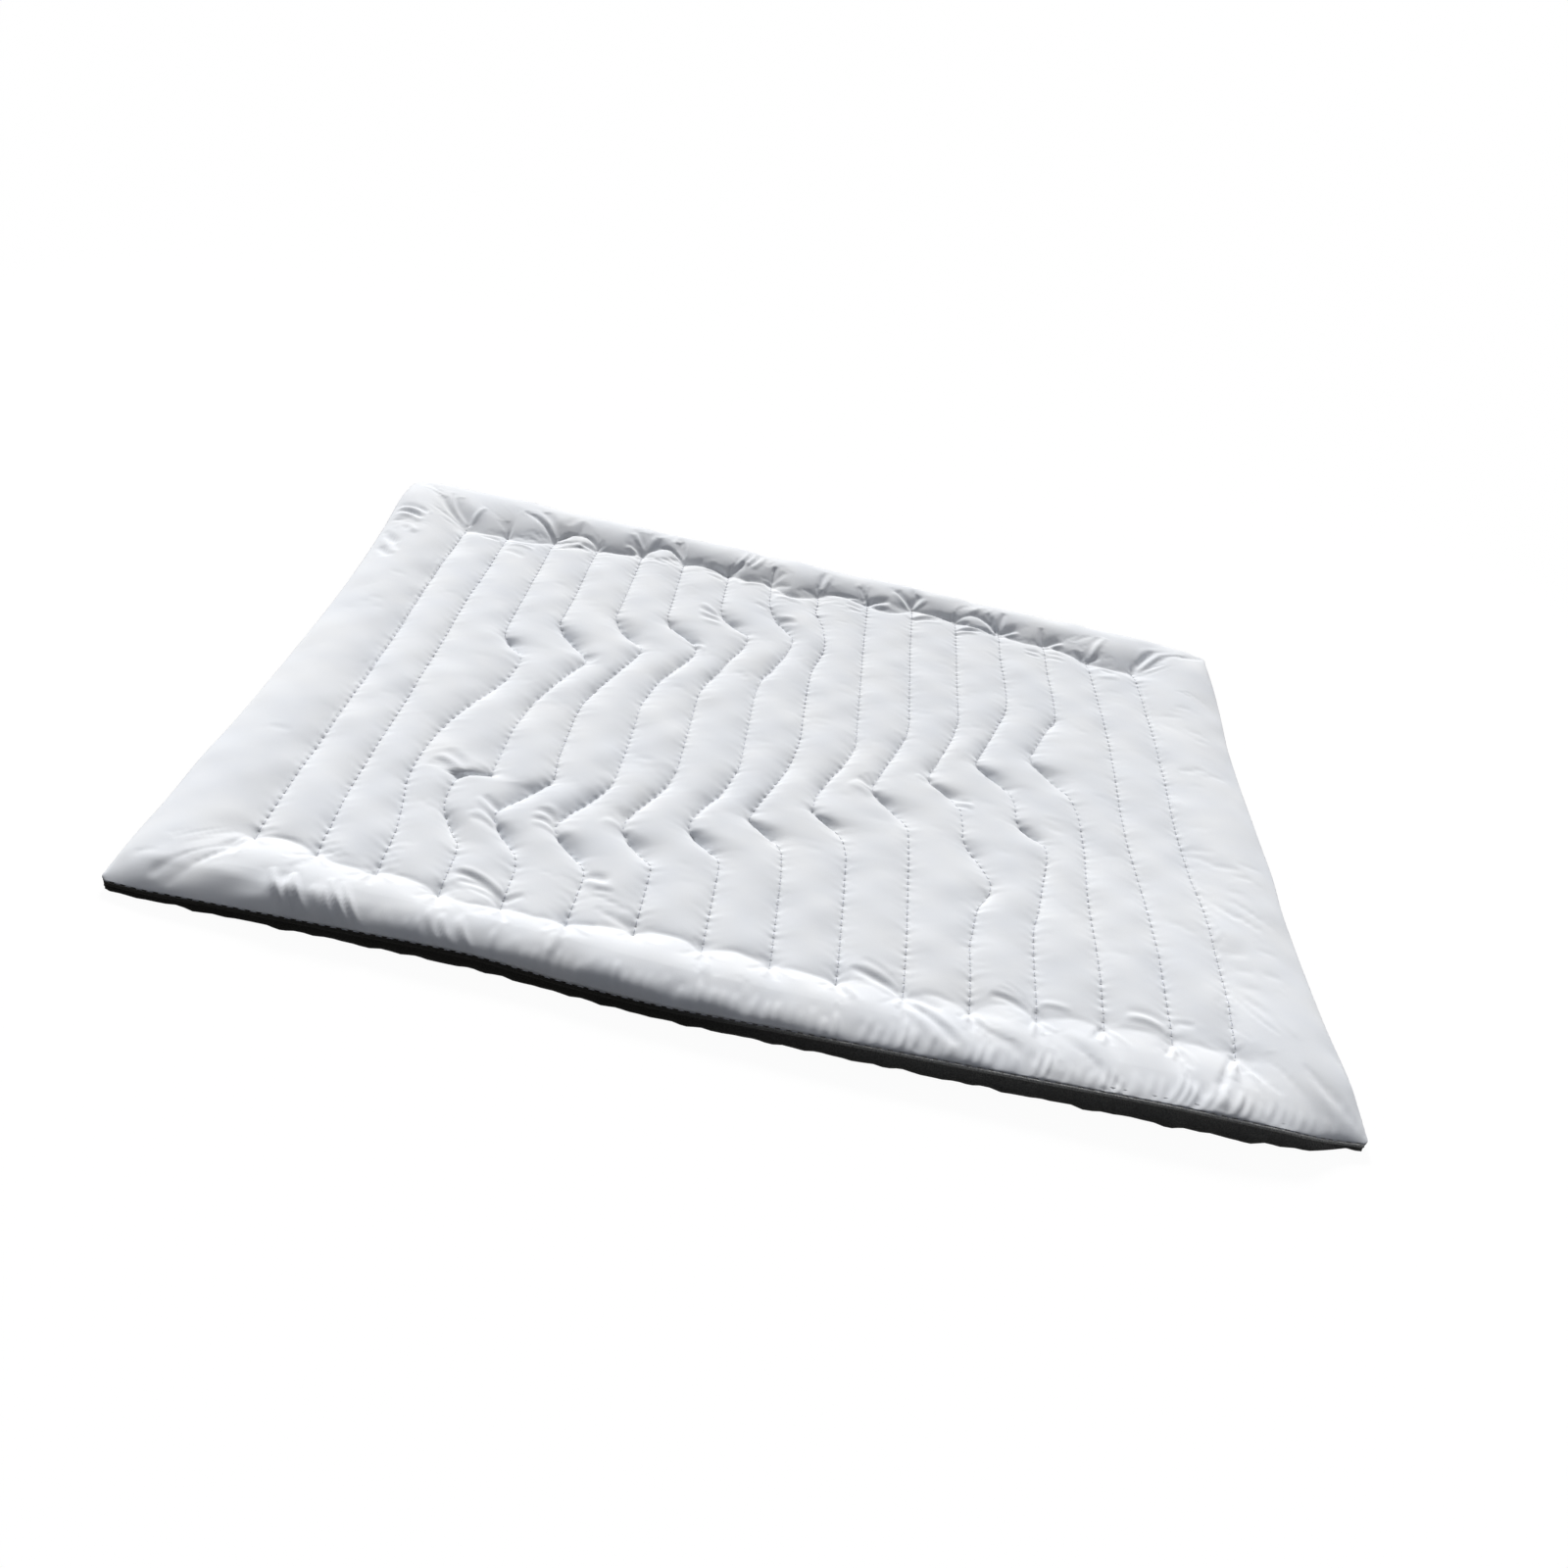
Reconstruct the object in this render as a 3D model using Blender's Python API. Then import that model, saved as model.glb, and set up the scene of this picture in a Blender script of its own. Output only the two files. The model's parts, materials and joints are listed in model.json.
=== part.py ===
"""A quilted cooling mat for a pet: a smooth cooling cover over wadding, on a soft grey underside.

The mat lies on z = 0 with its long side along X and its front along -Y. Sixteen quilting lines run from
front to back through all three layers. Each layer is lofted over the same net of lines, so the layers
follow each other at a constant clearance. Rows of the net run from front to back, columns from left to right.
"""

import bpy
import numpy as np

MM = 0.001

LEFT_BORDER = 62.0 * MM  # from the left seam to the first quilting line
RIGHT_BORDER = 72.5 * MM  # from the last quilting line to the right seam
LINE_PITCH = 37.7 * MM  # between neighbouring quilting lines
MAT_DEPTH = 550.0 * MM  # front corner to back corner

BORDER_HEIGHT = 22.0 * MM  # top of the unquilted border above the floor
LINE_HEIGHT = 6.5 * MM  # top of the mat where a quilting line draws it together
CHANNEL_RISE = 6.5 * MM  # crown of a channel above its quilting lines
SEAM_HEIGHT = 10.0 * MM  # edge seam above the floor, halfway along a side
UNDERSIDE_LIFT = 2.0 * MM  # underside above the floor, along a quilting line
FLOOR_CUT = 0.5 * MM  # how deep the underside is cut flat where it stands

FRONT_BOW = 13.0 * MM  # how far the front seam bulges past its corners
SIDE_DRAW = 10.0 * MM  # how far the side seams are drawn in between their corners

COVER_CLOTH = 1.0 * MM
UNDERSIDE_CLOTH = 1.2 * MM
HEM_FOLD = 2.0 * MM  # width of the cloth turned in at the edge seam
WADDING_EDGE = 0.8 * MM  # thickness of the wadding where it ends inside the seam
FOOT_INSET = 4.0 * MM  # from the edge seam in to where the underside meets the floor
WADDING_FOOT_GAP = 1.2 * MM  # from the underside cover's inner wall in to the wadding's foot
THREAD_RADIUS = 0.25 * MM
SEAM_THREAD_DROP = 0.125 * MM  # centre of the edge seam's thread below the plane between the two hems
CLEARANCE = 0.3 * MM

CREASE_ANGLE = np.radians(50)  # edges sharper than this are shaded as creases

# Each quilting line from front to back, as (sideways shift in pitches, place along the depth).
# Second to seventh points are the corners of the line's two jogs, which step on from line to line.
LINE_SHARES = (
    ((-0.03, 0.096), (-0.03, 0.160), (-0.02, 0.218), (0.00, 0.300),
     (0.03, 0.400), (0.05, 0.527), (0.03, 0.636), (0.06, 0.867)),
    ((-0.06, 0.090), (-0.09, 0.131), (-0.14, 0.209), (-0.13, 0.291),
     (-0.11, 0.400), (-0.10, 0.536), (-0.11, 0.627), (-0.05, 0.871)),
    ((-0.12, 0.080), (-0.16, 0.149), (-0.38, 0.240), (-0.39, 0.300),
     (-0.02, 0.418), (0.41, 0.542), (-0.11, 0.604), (-0.08, 0.887)),
    ((-0.14, 0.068), (-0.19, 0.149), (-0.69, 0.251), (-0.18, 0.284),
     (-0.11, 0.411), (0.55, 0.575), (-0.18, 0.649), (-0.14, 0.895)),
    ((-0.21, 0.068), (-0.31, 0.155), (-0.83, 0.216), (-0.18, 0.302),
     (-0.19, 0.469), (0.50, 0.629), (-0.20, 0.707), (-0.17, 0.907)),
    ((-0.23, 0.065), (-0.23, 0.151), (-0.88, 0.218), (-0.24, 0.311),
     (-0.17, 0.495), (0.48, 0.675), (-0.22, 0.735), (-0.25, 0.913)),
    ((-0.23, 0.073), (-0.24, 0.180), (-0.82, 0.238), (-0.26, 0.360),
     (-0.20, 0.542), (0.48, 0.724), (-0.21, 0.795), (-0.23, 0.910)),
    ((-0.18, 0.067), (-0.22, 0.216), (-0.80, 0.265), (-0.24, 0.382),
     (-0.16, 0.578), (0.39, 0.745), (-0.24, 0.853), (-0.26, 0.904)),
    ((-0.14, 0.063), (-0.25, 0.260), (-0.84, 0.307), (-0.23, 0.460),
     (-0.15, 0.636), (0.07, 0.747), (-0.21, 0.853), (-0.20, 0.902)),
    ((-0.14, 0.060), (-0.21, 0.298), (-0.78, 0.347), (-0.54, 0.422),
     (-0.14, 0.509), (-0.12, 0.627), (-0.12, 0.749), (-0.10, 0.911)),
    ((-0.13, 0.057), (-0.08, 0.218), (-0.13, 0.364), (-0.76, 0.422),
     (-0.37, 0.505), (-0.11, 0.609), (-0.11, 0.727), (-0.09, 0.918)),
    ((-0.12, 0.059), (-0.05, 0.173), (0.34, 0.275), (-0.14, 0.400),
     (-0.72, 0.471), (-0.12, 0.624), (-0.11, 0.773), (-0.09, 0.915)),
    ((-0.09, 0.067), (-0.04, 0.182), (0.39, 0.369), (-0.10, 0.424),
     (-0.13, 0.467), (-0.80, 0.529), (-0.07, 0.705), (-0.10, 0.911)),
    ((-0.04, 0.075), (0.02, 0.200), (0.06, 0.313), (0.12, 0.400),
     (0.02, 0.487), (-0.69, 0.573), (-0.05, 0.695), (-0.08, 0.904)),
    ((0.02, 0.075), (0.07, 0.209), (0.02, 0.345), (-0.03, 0.436),
     (-0.01, 0.527), (0.01, 0.655), (-0.04, 0.764), (-0.12, 0.881)),
    ((-0.02, 0.070), (0.12, 0.209), (0.07, 0.342), (0.01, 0.436),
     (0.01, 0.527), (0.04, 0.636), (0.00, 0.764), (-0.07, 0.880)),
)
LINE_COUNT = len(LINE_SHARES)
MAT_WIDTH = LEFT_BORDER + (LINE_COUNT - 1) * LINE_PITCH + RIGHT_BORDER

# The seam's outline in plan, as (place along the edge, share of the bow or of the draw).
FRONT_BOW_SHARES = (
    (0.00, 0.00), (0.05, 0.22), (0.20, 0.25), (0.28, 0.32), (0.36, 0.65), (0.42, 0.90),
    (0.50, 1.00), (0.88, 1.00), (0.93, 0.80), (0.98, 0.20), (1.00, 0.00),
)
LEFT_DRAW_SHARES = (
    (0.00, 0.00), (0.12, 0.40), (0.28, 0.72), (0.45, 0.98), (0.58, 1.00), (0.70, 0.90),
    (0.82, 0.55), (0.95, 0.05), (1.00, 0.00),
)
RIGHT_DRAW_SHARES = (
    (0.00, 0.00), (0.05, 0.00), (0.12, 0.15), (0.20, 0.55), (0.28, 0.85), (0.42, 0.75),
    (0.58, 0.90), (0.70, 0.80), (0.80, 0.55), (0.90, 0.20), (1.00, 0.00),
)

# The seam's height along each edge, as (place along the edge, share of SEAM_HEIGHT).
FRONT_SEAM_SHARES = (
    (0.00, 0.60), (0.05, 0.72), (0.28, 0.75), (0.42, 0.85), (0.55, 1.15), (0.70, 1.35),
    (0.85, 1.50), (0.93, 1.35), (0.98, 0.70), (1.00, 0.60),
)
OTHER_SEAM_SHARES = ((0.00, 0.60), (0.10, 0.95), (0.50, 1.00), (0.90, 0.95), (1.00, 0.60))

# Where the rings of the border lie between the seam (0) and the quilting (1), and how much they rise.
SIDE_RING_SHARES = (0.20, 0.55)
SIDE_RISE_SHARES = (0.62, 1.00)
END_RING_SHARE = 0.38
END_GATHER_SHARE = 0.18  # how far the border's crown is pulled down in line with a quilting line
CORNER_RISE_SHARE = 0.85
END_SWELL_SHARE = 1.45  # a channel's crown at its two ends, against its crown elsewhere

STRIPS = 3  # facets across a channel, and across a side border
SIDE_RINGS = len(SIDE_RING_SHARES)
END_RING_COUNT = 1  # rings between the front or back seam and the quilting
FIRST_LINE = SIDE_RINGS + 1
LAST_LINE = FIRST_LINE + STRIPS * (LINE_COUNT - 1)
COLUMNS = LAST_LINE + FIRST_LINE + 1
FRONT_END = END_RING_COUNT + 1
BACK_END = FRONT_END + len(LINE_SHARES[0]) - 1
ROWS = BACK_END + FRONT_END + 1
LINE_COLUMNS = np.arange(FIRST_LINE, LAST_LINE + 1, STRIPS)


def along(shares, place):
    """Straight-line reading of a table of (place, share) at the given places."""
    places, values = np.array(shares).T
    return np.interp(place, places, values)


def left_seam(y):
    return SIDE_DRAW * along(LEFT_DRAW_SHARES, y / MAT_DEPTH)


def right_seam(y):
    return MAT_WIDTH - SIDE_DRAW * along(RIGHT_DRAW_SHARES, y / MAT_DEPTH)


def front_seam(x):
    return -FRONT_BOW * along(FRONT_BOW_SHARES, x / MAT_WIDTH)


def quilted_net():
    """Plan of the quilted field, (row, column, xy): the lines' own points, and even steps between lines."""
    shifts, places = np.moveaxis(np.array(LINE_SHARES), 2, 0)
    straight = LEFT_BORDER + LINE_PITCH * np.arange(LINE_COUNT)
    lines = np.stack([straight[:, None] + LINE_PITCH * shifts, MAT_DEPTH * places], axis=2)
    spot = np.arange((LINE_COUNT - 1) * STRIPS + 1) / STRIPS
    low = np.minimum(spot.astype(int), LINE_COUNT - 2)
    blend = (spot - low)[:, None, None]
    return np.swapaxes(lines[low] * (1 - blend) + lines[low + 1] * blend, 0, 1)


def plan(edge_inset, foot_inset=None):
    """Plan of one skin, (row, column, xy): the quilted net, its side rings and its end rings.

    The outermost ring lies edge_inset inside the seam. The next one lies where the border's shares put it,
    or foot_inset inside the seam.
    """
    net = np.zeros((ROWS, COLUMNS, 2))
    quilt = quilted_net()
    field = slice(FIRST_LINE, LAST_LINE + 1)
    net[FRONT_END:BACK_END + 1, field] = quilt
    net[:FRONT_END, field, 0] = quilt[0, :, 0]
    net[BACK_END + 1:, field, 0] = quilt[-1, :, 0]

    # The side rings take their rows from the nearest line, and the corners their rows from the seam.
    rows_left = np.concatenate([[0, 0], quilt[:, 0, 1], [MAT_DEPTH, MAT_DEPTH]])
    rows_right = np.concatenate([[0, 0], quilt[:, -1, 1], [MAT_DEPTH, MAT_DEPTH]])
    left = left_seam(rows_left)
    right = right_seam(rows_right)
    for ring, share in enumerate((0,) + SIDE_RING_SHARES):
        net[:, ring, 0] = left + share * (net[:, FIRST_LINE, 0] - left)
        net[:, -1 - ring, 0] = right - share * (right - net[:, LAST_LINE, 0])
        net[:, ring, 1] = rows_left
        net[:, -1 - ring, 1] = rows_right
    net[:, 0, 0] += edge_inset
    net[:, -1, 0] -= edge_inset

    front = front_seam(net[0, :, 0])
    back = np.full(COLUMNS, MAT_DEPTH)
    net[1, :, 1] = front + END_RING_SHARE * (net[FRONT_END, :, 1] - front)
    net[-2, :, 1] = back - END_RING_SHARE * (back - net[BACK_END, :, 1])
    net[0, :, 1] = front + edge_inset
    net[-1, :, 1] = back - edge_inset
    if foot_inset is not None:
        net[1:-1, 1, 0] = left[1:-1] + foot_inset
        net[1:-1, -2, 0] = right[1:-1] - foot_inset
        net[1, 1:-1, 1] = front[1:-1] + foot_inset
        net[-2, 1:-1, 1] = back[1:-1] - foot_inset
    return net


def seam_heights():
    """Height of the nearest edge seam for every point of the net, blended across the quilted field."""
    outline = plan(0.0)
    front = along(FRONT_SEAM_SHARES, outline[0, :, 0] / MAT_WIDTH)
    back = along(OTHER_SEAM_SHARES, outline[-1, :, 0] / MAT_WIDTH)
    left = along(OTHER_SEAM_SHARES, outline[:, 0, 1] / MAT_DEPTH)
    right = along(OTHER_SEAM_SHARES, outline[:, -1, 1] / MAT_DEPTH)
    share = np.ones((ROWS, COLUMNS))
    share[:, :FIRST_LINE] = left[:, None]
    share[:, LAST_LINE + 1:] = right[:, None]
    share[:FRONT_END] = front
    share[BACK_END + 1:] = back
    return SEAM_HEIGHT * share


def side_shares():
    """How much of the border's rise each column and each row takes: 0 on the seam, 1 on the crown."""
    rise = (0,) + SIDE_RISE_SHARES
    columns = np.concatenate([rise, np.ones(COLUMNS - 2 * len(rise)), rise[::-1]])
    rows = np.ones(ROWS)
    rows[[0, -1]] = 0
    return rows[:, None], columns[None, :]


def top_heights():
    """Height of the mat's top: the border's crown round channels that swell towards their ends."""
    seam = seam_heights()
    rows, columns = side_shares()
    crown = rows * columns
    for row in (1, ROWS - 2):
        crown[row, LINE_COLUMNS] -= END_GATHER_SHARE
        crown[row, :FIRST_LINE] *= CORNER_RISE_SHARE
        crown[row, LAST_LINE + 1:] *= CORNER_RISE_SHARE
    top = seam + (BORDER_HEIGHT - seam) * crown

    channels = np.full((BACK_END - FRONT_END + 1, LAST_LINE - FIRST_LINE + 1), LINE_HEIGHT + CHANNEL_RISE)
    channels[[0, -1]] = LINE_HEIGHT + END_SWELL_SHARE * CHANNEL_RISE
    channels[:, ::STRIPS] = LINE_HEIGHT
    top[FRONT_END:BACK_END + 1, FIRST_LINE:LAST_LINE + 1] = channels
    return top


def underside_heights():
    """Height of the mat's underside: the seam, then flats on the floor, lifted along the quilting lines."""
    rows, columns = side_shares()
    under = np.where(rows * columns == 0, seam_heights(), -FLOOR_CUT)
    under[FRONT_END:BACK_END + 1, LINE_COLUMNS] = UNDERSIDE_LIFT
    return np.maximum(under, 0.0)


def skin(net, heights, edge_drop, drop):
    """Points of one skin: its plan with its heights, lowered by edge_drop on the seam and by drop elsewhere."""
    lowered = heights - drop
    ring = [0, -1]
    lowered[ring, :] = seam_heights()[ring, :] - edge_drop
    lowered[:, ring] = seam_heights()[:, ring] - edge_drop
    return np.concatenate([net, lowered[:, :, None]], axis=2) - FRAME_ORIGIN


def turned_quads():
    """Which of the net's quads are split from front right to back left: those where that is shorter.

    Round the edge the split runs inwards from the nearest corner instead.
    """
    net = plan(0.0)
    straight = np.linalg.norm(net[:-1, :-1] - net[1:, 1:], axis=2)
    turned = np.linalg.norm(net[:-1, 1:] - net[1:, :-1], axis=2) < straight
    in_front = np.arange(ROWS - 1)[:, None] < ROWS // 2
    on_left = np.arange(COLUMNS - 1)[None, :] < COLUMNS // 2
    inwards = in_front != on_left
    ring = [0, -1]
    turned[ring, :] = inwards[ring, :]
    turned[:, ring] = inwards[:, ring]
    return turned[:, :, None]


def net_faces(start, flip):
    """The net's triangles, counter-clockwise seen from above, or clockwise where flip is set.

    Both skins of a layer are split along the same diagonals, so that the layers stay parallel.
    """
    index = start + np.arange(ROWS * COLUMNS).reshape(ROWS, COLUMNS)
    quads = np.stack([index[:-1, :-1], index[:-1, 1:], index[1:, 1:], index[1:, :-1]], axis=2)
    quads = np.where(turned_quads(), np.roll(quads, 1, axis=2), quads).reshape(-1, 4)
    faces = np.concatenate([quads[:, [0, 1, 2]], quads[:, [0, 2, 3]]])
    return faces[:, ::-1] if flip else faces


def rim_indices():
    """The net's outer ring, counter-clockwise seen from above."""
    index = np.arange(ROWS * COLUMNS).reshape(ROWS, COLUMNS)
    return np.concatenate([index[0, :-1], index[:-1, -1], index[-1, :0:-1], index[:0:-1, 0]])


def material(name, colour, roughness, sheen=0.0):
    made = bpy.data.materials.new(name)
    made.use_nodes = True
    shader = made.node_tree.nodes["Principled BSDF"]
    shader.inputs["Base Color"].default_value = (*colour, 1.0)
    shader.inputs["Roughness"].default_value = roughness
    shader.inputs["Metallic"].default_value = 0.0
    shader.inputs["Sheen Weight"].default_value = sheen
    return made


def add_object(name, data, finish):
    data.materials.append(finish)
    made = bpy.data.objects.new(name, data)
    bpy.context.scene.collection.objects.link(made)
    return made


def add_layer(name, upper, lower, finish):
    """A closed layer between two skins, joined by a rim along its edge."""
    ring = rim_indices()
    after = np.roll(ring, -1)
    below = ROWS * COLUMNS
    rim = np.stack([ring + below, after + below, after, ring], axis=1)
    faces = net_faces(0, False).tolist() + net_faces(below, True).tolist() + rim.tolist()
    mesh = bpy.data.meshes.new(name)
    points = np.concatenate([upper.reshape(-1, 3), lower.reshape(-1, 3)])
    mesh.from_pydata(points.tolist(), [], faces)
    mesh.shade_smooth()
    mesh.set_sharp_from_angle(angle=CREASE_ANGLE)
    return add_object(name, mesh, finish)


def add_thread(name, points, finish, closed=False):
    """A run of thread: a thin square cord along the points."""
    curve = bpy.data.curves.new(name, "CURVE")
    curve.dimensions = "3D"
    curve.bevel_depth = THREAD_RADIUS
    curve.bevel_resolution = 0
    curve.use_fill_caps = not closed
    spline = curve.splines.new("POLY")
    spline.points.add(len(points) - 1)
    spline.points.foreach_set("co", np.column_stack([points, np.ones(len(points))]).ravel())
    spline.use_cyclic_u = closed
    return add_object(name, curve, finish)


def frame_origin():
    """The middle of the seam's outline in plan, at floor level."""
    outline = plan(0.0).reshape(-1, 2)
    middle = (outline.min(axis=0) + outline.max(axis=0)) / 2
    return np.append(middle, 0.0)


FRAME_ORIGIN = frame_origin()


def build_layers():
    """The three layers, from the top down, each a clearance below the one above it."""
    top, under = top_heights(), underside_heights()
    half_seam = CLEARANCE / 2
    inside_wall = FOOT_INSET + HEM_FOLD
    wadding_inset = HEM_FOLD + 2 * (CLEARANCE + THREAD_RADIUS)
    wadding_foot = inside_wall + WADDING_FOOT_GAP

    add_layer(
        "cooling_cover",
        skin(plan(0.0), top, -half_seam, 0.0),
        skin(plan(HEM_FOLD), top, -half_seam, COVER_CLOTH),
        material("cooling_cloth", (0.78, 0.80, 0.87), 0.45, 0.2),
    )
    add_layer(
        "wadding",
        skin(plan(wadding_inset), top, half_seam, COVER_CLOTH + CLEARANCE),
        skin(plan(wadding_inset, wadding_foot), under, half_seam + WADDING_EDGE,
             -UNDERSIDE_CLOTH - CLEARANCE),
        material("white_wadding", (0.85, 0.85, 0.84), 0.95),
    )
    add_layer(
        "underside_cover",
        skin(plan(HEM_FOLD, inside_wall), under, half_seam, -UNDERSIDE_CLOTH),
        skin(plan(0.0, FOOT_INSET), under, half_seam, 0.0),
        material("charcoal_suede", (0.045, 0.047, 0.045), 0.9, 0.4),
    )


def build_threads():
    """The quilting threads above and below each line, and the thread that closes the edge seam."""
    finish = material("pale_thread", (0.62, 0.65, 0.72), 0.6)
    net = plan(0.0)[FRONT_END:BACK_END + 1]
    above = LINE_HEIGHT + CLEARANCE + THREAD_RADIUS
    below = UNDERSIDE_LIFT - CLEARANCE - THREAD_RADIUS
    for number, column in enumerate(LINE_COLUMNS, start=1):
        route = net[:, column]
        for kind, height in (("needle", above), ("bobbin", below)):
            points = np.column_stack([route, np.full(len(route), height)]) - FRAME_ORIGIN
            add_thread(f"{kind}_thread_{number:02d}", points, finish)

    ring = rim_indices()
    inset = HEM_FOLD + CLEARANCE + THREAD_RADIUS
    height = seam_heights().ravel()[ring] - SEAM_THREAD_DROP
    seam = np.column_stack([plan(inset).reshape(-1, 2)[ring], height])
    add_thread("edge_seam_thread", seam - FRAME_ORIGIN, finish, closed=True)


def build():
    for old in list(bpy.data.objects):
        bpy.data.objects.remove(old, do_unlink=True)
    build_layers()
    build_threads()


build()
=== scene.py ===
"""Looks of a quilted cooling mat for a pet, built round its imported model.

The mat's top, wadding and underside are one net of points each. Columns of a net run across the mat, with one
on every quilting line, and rows run from the front seam to the back seam. Plan sizes are in millimetres from
the mat's front left corner, x across and y back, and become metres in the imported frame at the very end.
"""

import json

import bpy
import numpy as np
from mathutils import Matrix, Vector

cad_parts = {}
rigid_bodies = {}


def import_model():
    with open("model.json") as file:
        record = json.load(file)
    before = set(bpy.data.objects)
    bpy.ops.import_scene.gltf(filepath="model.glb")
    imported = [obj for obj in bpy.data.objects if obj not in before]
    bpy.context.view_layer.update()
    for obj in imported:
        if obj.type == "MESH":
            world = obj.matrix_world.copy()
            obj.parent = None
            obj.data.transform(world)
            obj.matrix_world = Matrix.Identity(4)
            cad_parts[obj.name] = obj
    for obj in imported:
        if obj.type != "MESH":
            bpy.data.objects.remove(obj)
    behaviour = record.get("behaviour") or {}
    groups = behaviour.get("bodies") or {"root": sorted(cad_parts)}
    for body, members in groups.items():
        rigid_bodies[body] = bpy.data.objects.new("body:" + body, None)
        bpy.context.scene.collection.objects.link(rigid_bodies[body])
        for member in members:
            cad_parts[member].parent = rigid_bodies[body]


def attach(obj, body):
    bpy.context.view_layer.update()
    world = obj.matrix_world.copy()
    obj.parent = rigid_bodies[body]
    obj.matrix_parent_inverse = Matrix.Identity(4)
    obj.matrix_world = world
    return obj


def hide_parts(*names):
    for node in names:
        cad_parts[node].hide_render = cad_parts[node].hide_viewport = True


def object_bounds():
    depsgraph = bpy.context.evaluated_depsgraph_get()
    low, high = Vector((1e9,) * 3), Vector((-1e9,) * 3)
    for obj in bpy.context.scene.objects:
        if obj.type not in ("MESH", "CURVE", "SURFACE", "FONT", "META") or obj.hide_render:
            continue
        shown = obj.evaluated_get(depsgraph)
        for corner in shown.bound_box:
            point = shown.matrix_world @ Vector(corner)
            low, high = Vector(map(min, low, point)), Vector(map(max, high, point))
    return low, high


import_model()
CAD_LOW, CAD_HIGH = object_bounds()

MM = 0.001
ROOT = "root"

WIDTH = (CAD_HIGH.x - CAD_LOW.x) / MM
FRONT_BOW = 13.0  # how far the front seam bulges past its corners
DEPTH = (CAD_HIGH.y - CAD_LOW.y) / MM - FRONT_BOW
CORNER = np.array([CAD_LOW.x / MM, CAD_LOW.y / MM + FRONT_BOW, 0.0])
CORNER_ROUND = (3.0, 2.5, 16.0, 6.0)  # radius in plan, at the front left, front right, back left, back right

FIELD_HEIGHT = 12.8  # crown of a channel in the quilted field
BILLOW = 0.8  # how far a channel's cloth domes between its lines
LINE_DRAW = ((0, 1.8), (1, 1.6), (8, 1.1), (10, 0.7), (15, 0.9))  # (line, how far it draws the cloth down)
LEAN_DRAW = 3.0  # how much deeper it does where the line leans to the right as it runs back
JOG_DRAW = 5.6  # where it jogs to the left
HOOK_DRAW = 1.5  # how many times deeper than a leaning line it draws where it runs almost across the mat
SLANT_REACH = 2.0  # a line's slant is measured this far to both sides
SLANT_MARGIN = 30  # and this far beyond the front and the back of the mat
SLANT_GAIN = 1.3  # how soon a slant counts in full
HOOK_SLANT = 0.75  # slant from which a line counts as running across
JOG_WINDOWS = ((-1, 8), (-14, 2))  # millimetres in front of and behind a place that its jog is averaged over
LEAN_WINDOW = (-6, 6)
HOOK_WINDOW = (-2, 2)
END_DRAW = 2.2  # how much deeper a line draws the cloth down at its ends
END_REACH = 14.0  # over what length
END_FADE = 5.0  # how far its crease runs on past its end
END_SHARPER = 0.25  # growth of the crease's power with each millimetre past the end
CREASE_DRAW = 3.2  # depth of the crease along the lines' ends where its share is 1
CREASE_AHEAD = 6.0  # reach of the front crease into the border, at the least
BACK_CREASE_REACH = (4.0, 16.0)  # reach of the back crease into the field and into the border
BROAD_CREASE = 390.0  # to the right of here the front crease comes to reach as far ahead as behind
BROAD_CREASE_EASE = 60.0  # over this length
UNDERSIDE_LIFT = 2.4  # underside above the floor where a quilting line holds it up
EDGE_ROLL = 21.0  # from the seam in to where the border reaches its full height
BORDER_SLOPE = 34.0  # from the outer quilting lines out to the border's full height
CREASE_POWER = 4.6  # how narrow the crease beside a line is
GROOVE_ROUND = 0.07  # how round a straight line's crease is at its bottom, as a share of half a channel
CREASE_BROADER = 0.7  # how much broader it is behind a slanting line
CREASE_SHARPER = 0.4  # and how much narrower in front of it
SWELL_REACH = 240.0  # how far back the field swells up towards the front border, and over what length
SWELL_LENGTH = 180.0
FRONT_RISE = 26.0  # from the crease along the lines' front ends out to the border's crown
BACK_RISE = 29.0  # and from that along their back ends
BACK_ROLL = 18.0  # width of the back's rolled edge
BOW_FADE = 3 * EDGE_ROLL  # over this length behind the front seam the rows lose its bow
EDGE_BLEND = 0.5  # keeps the blend of the four edges' heights finite at the seam

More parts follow.
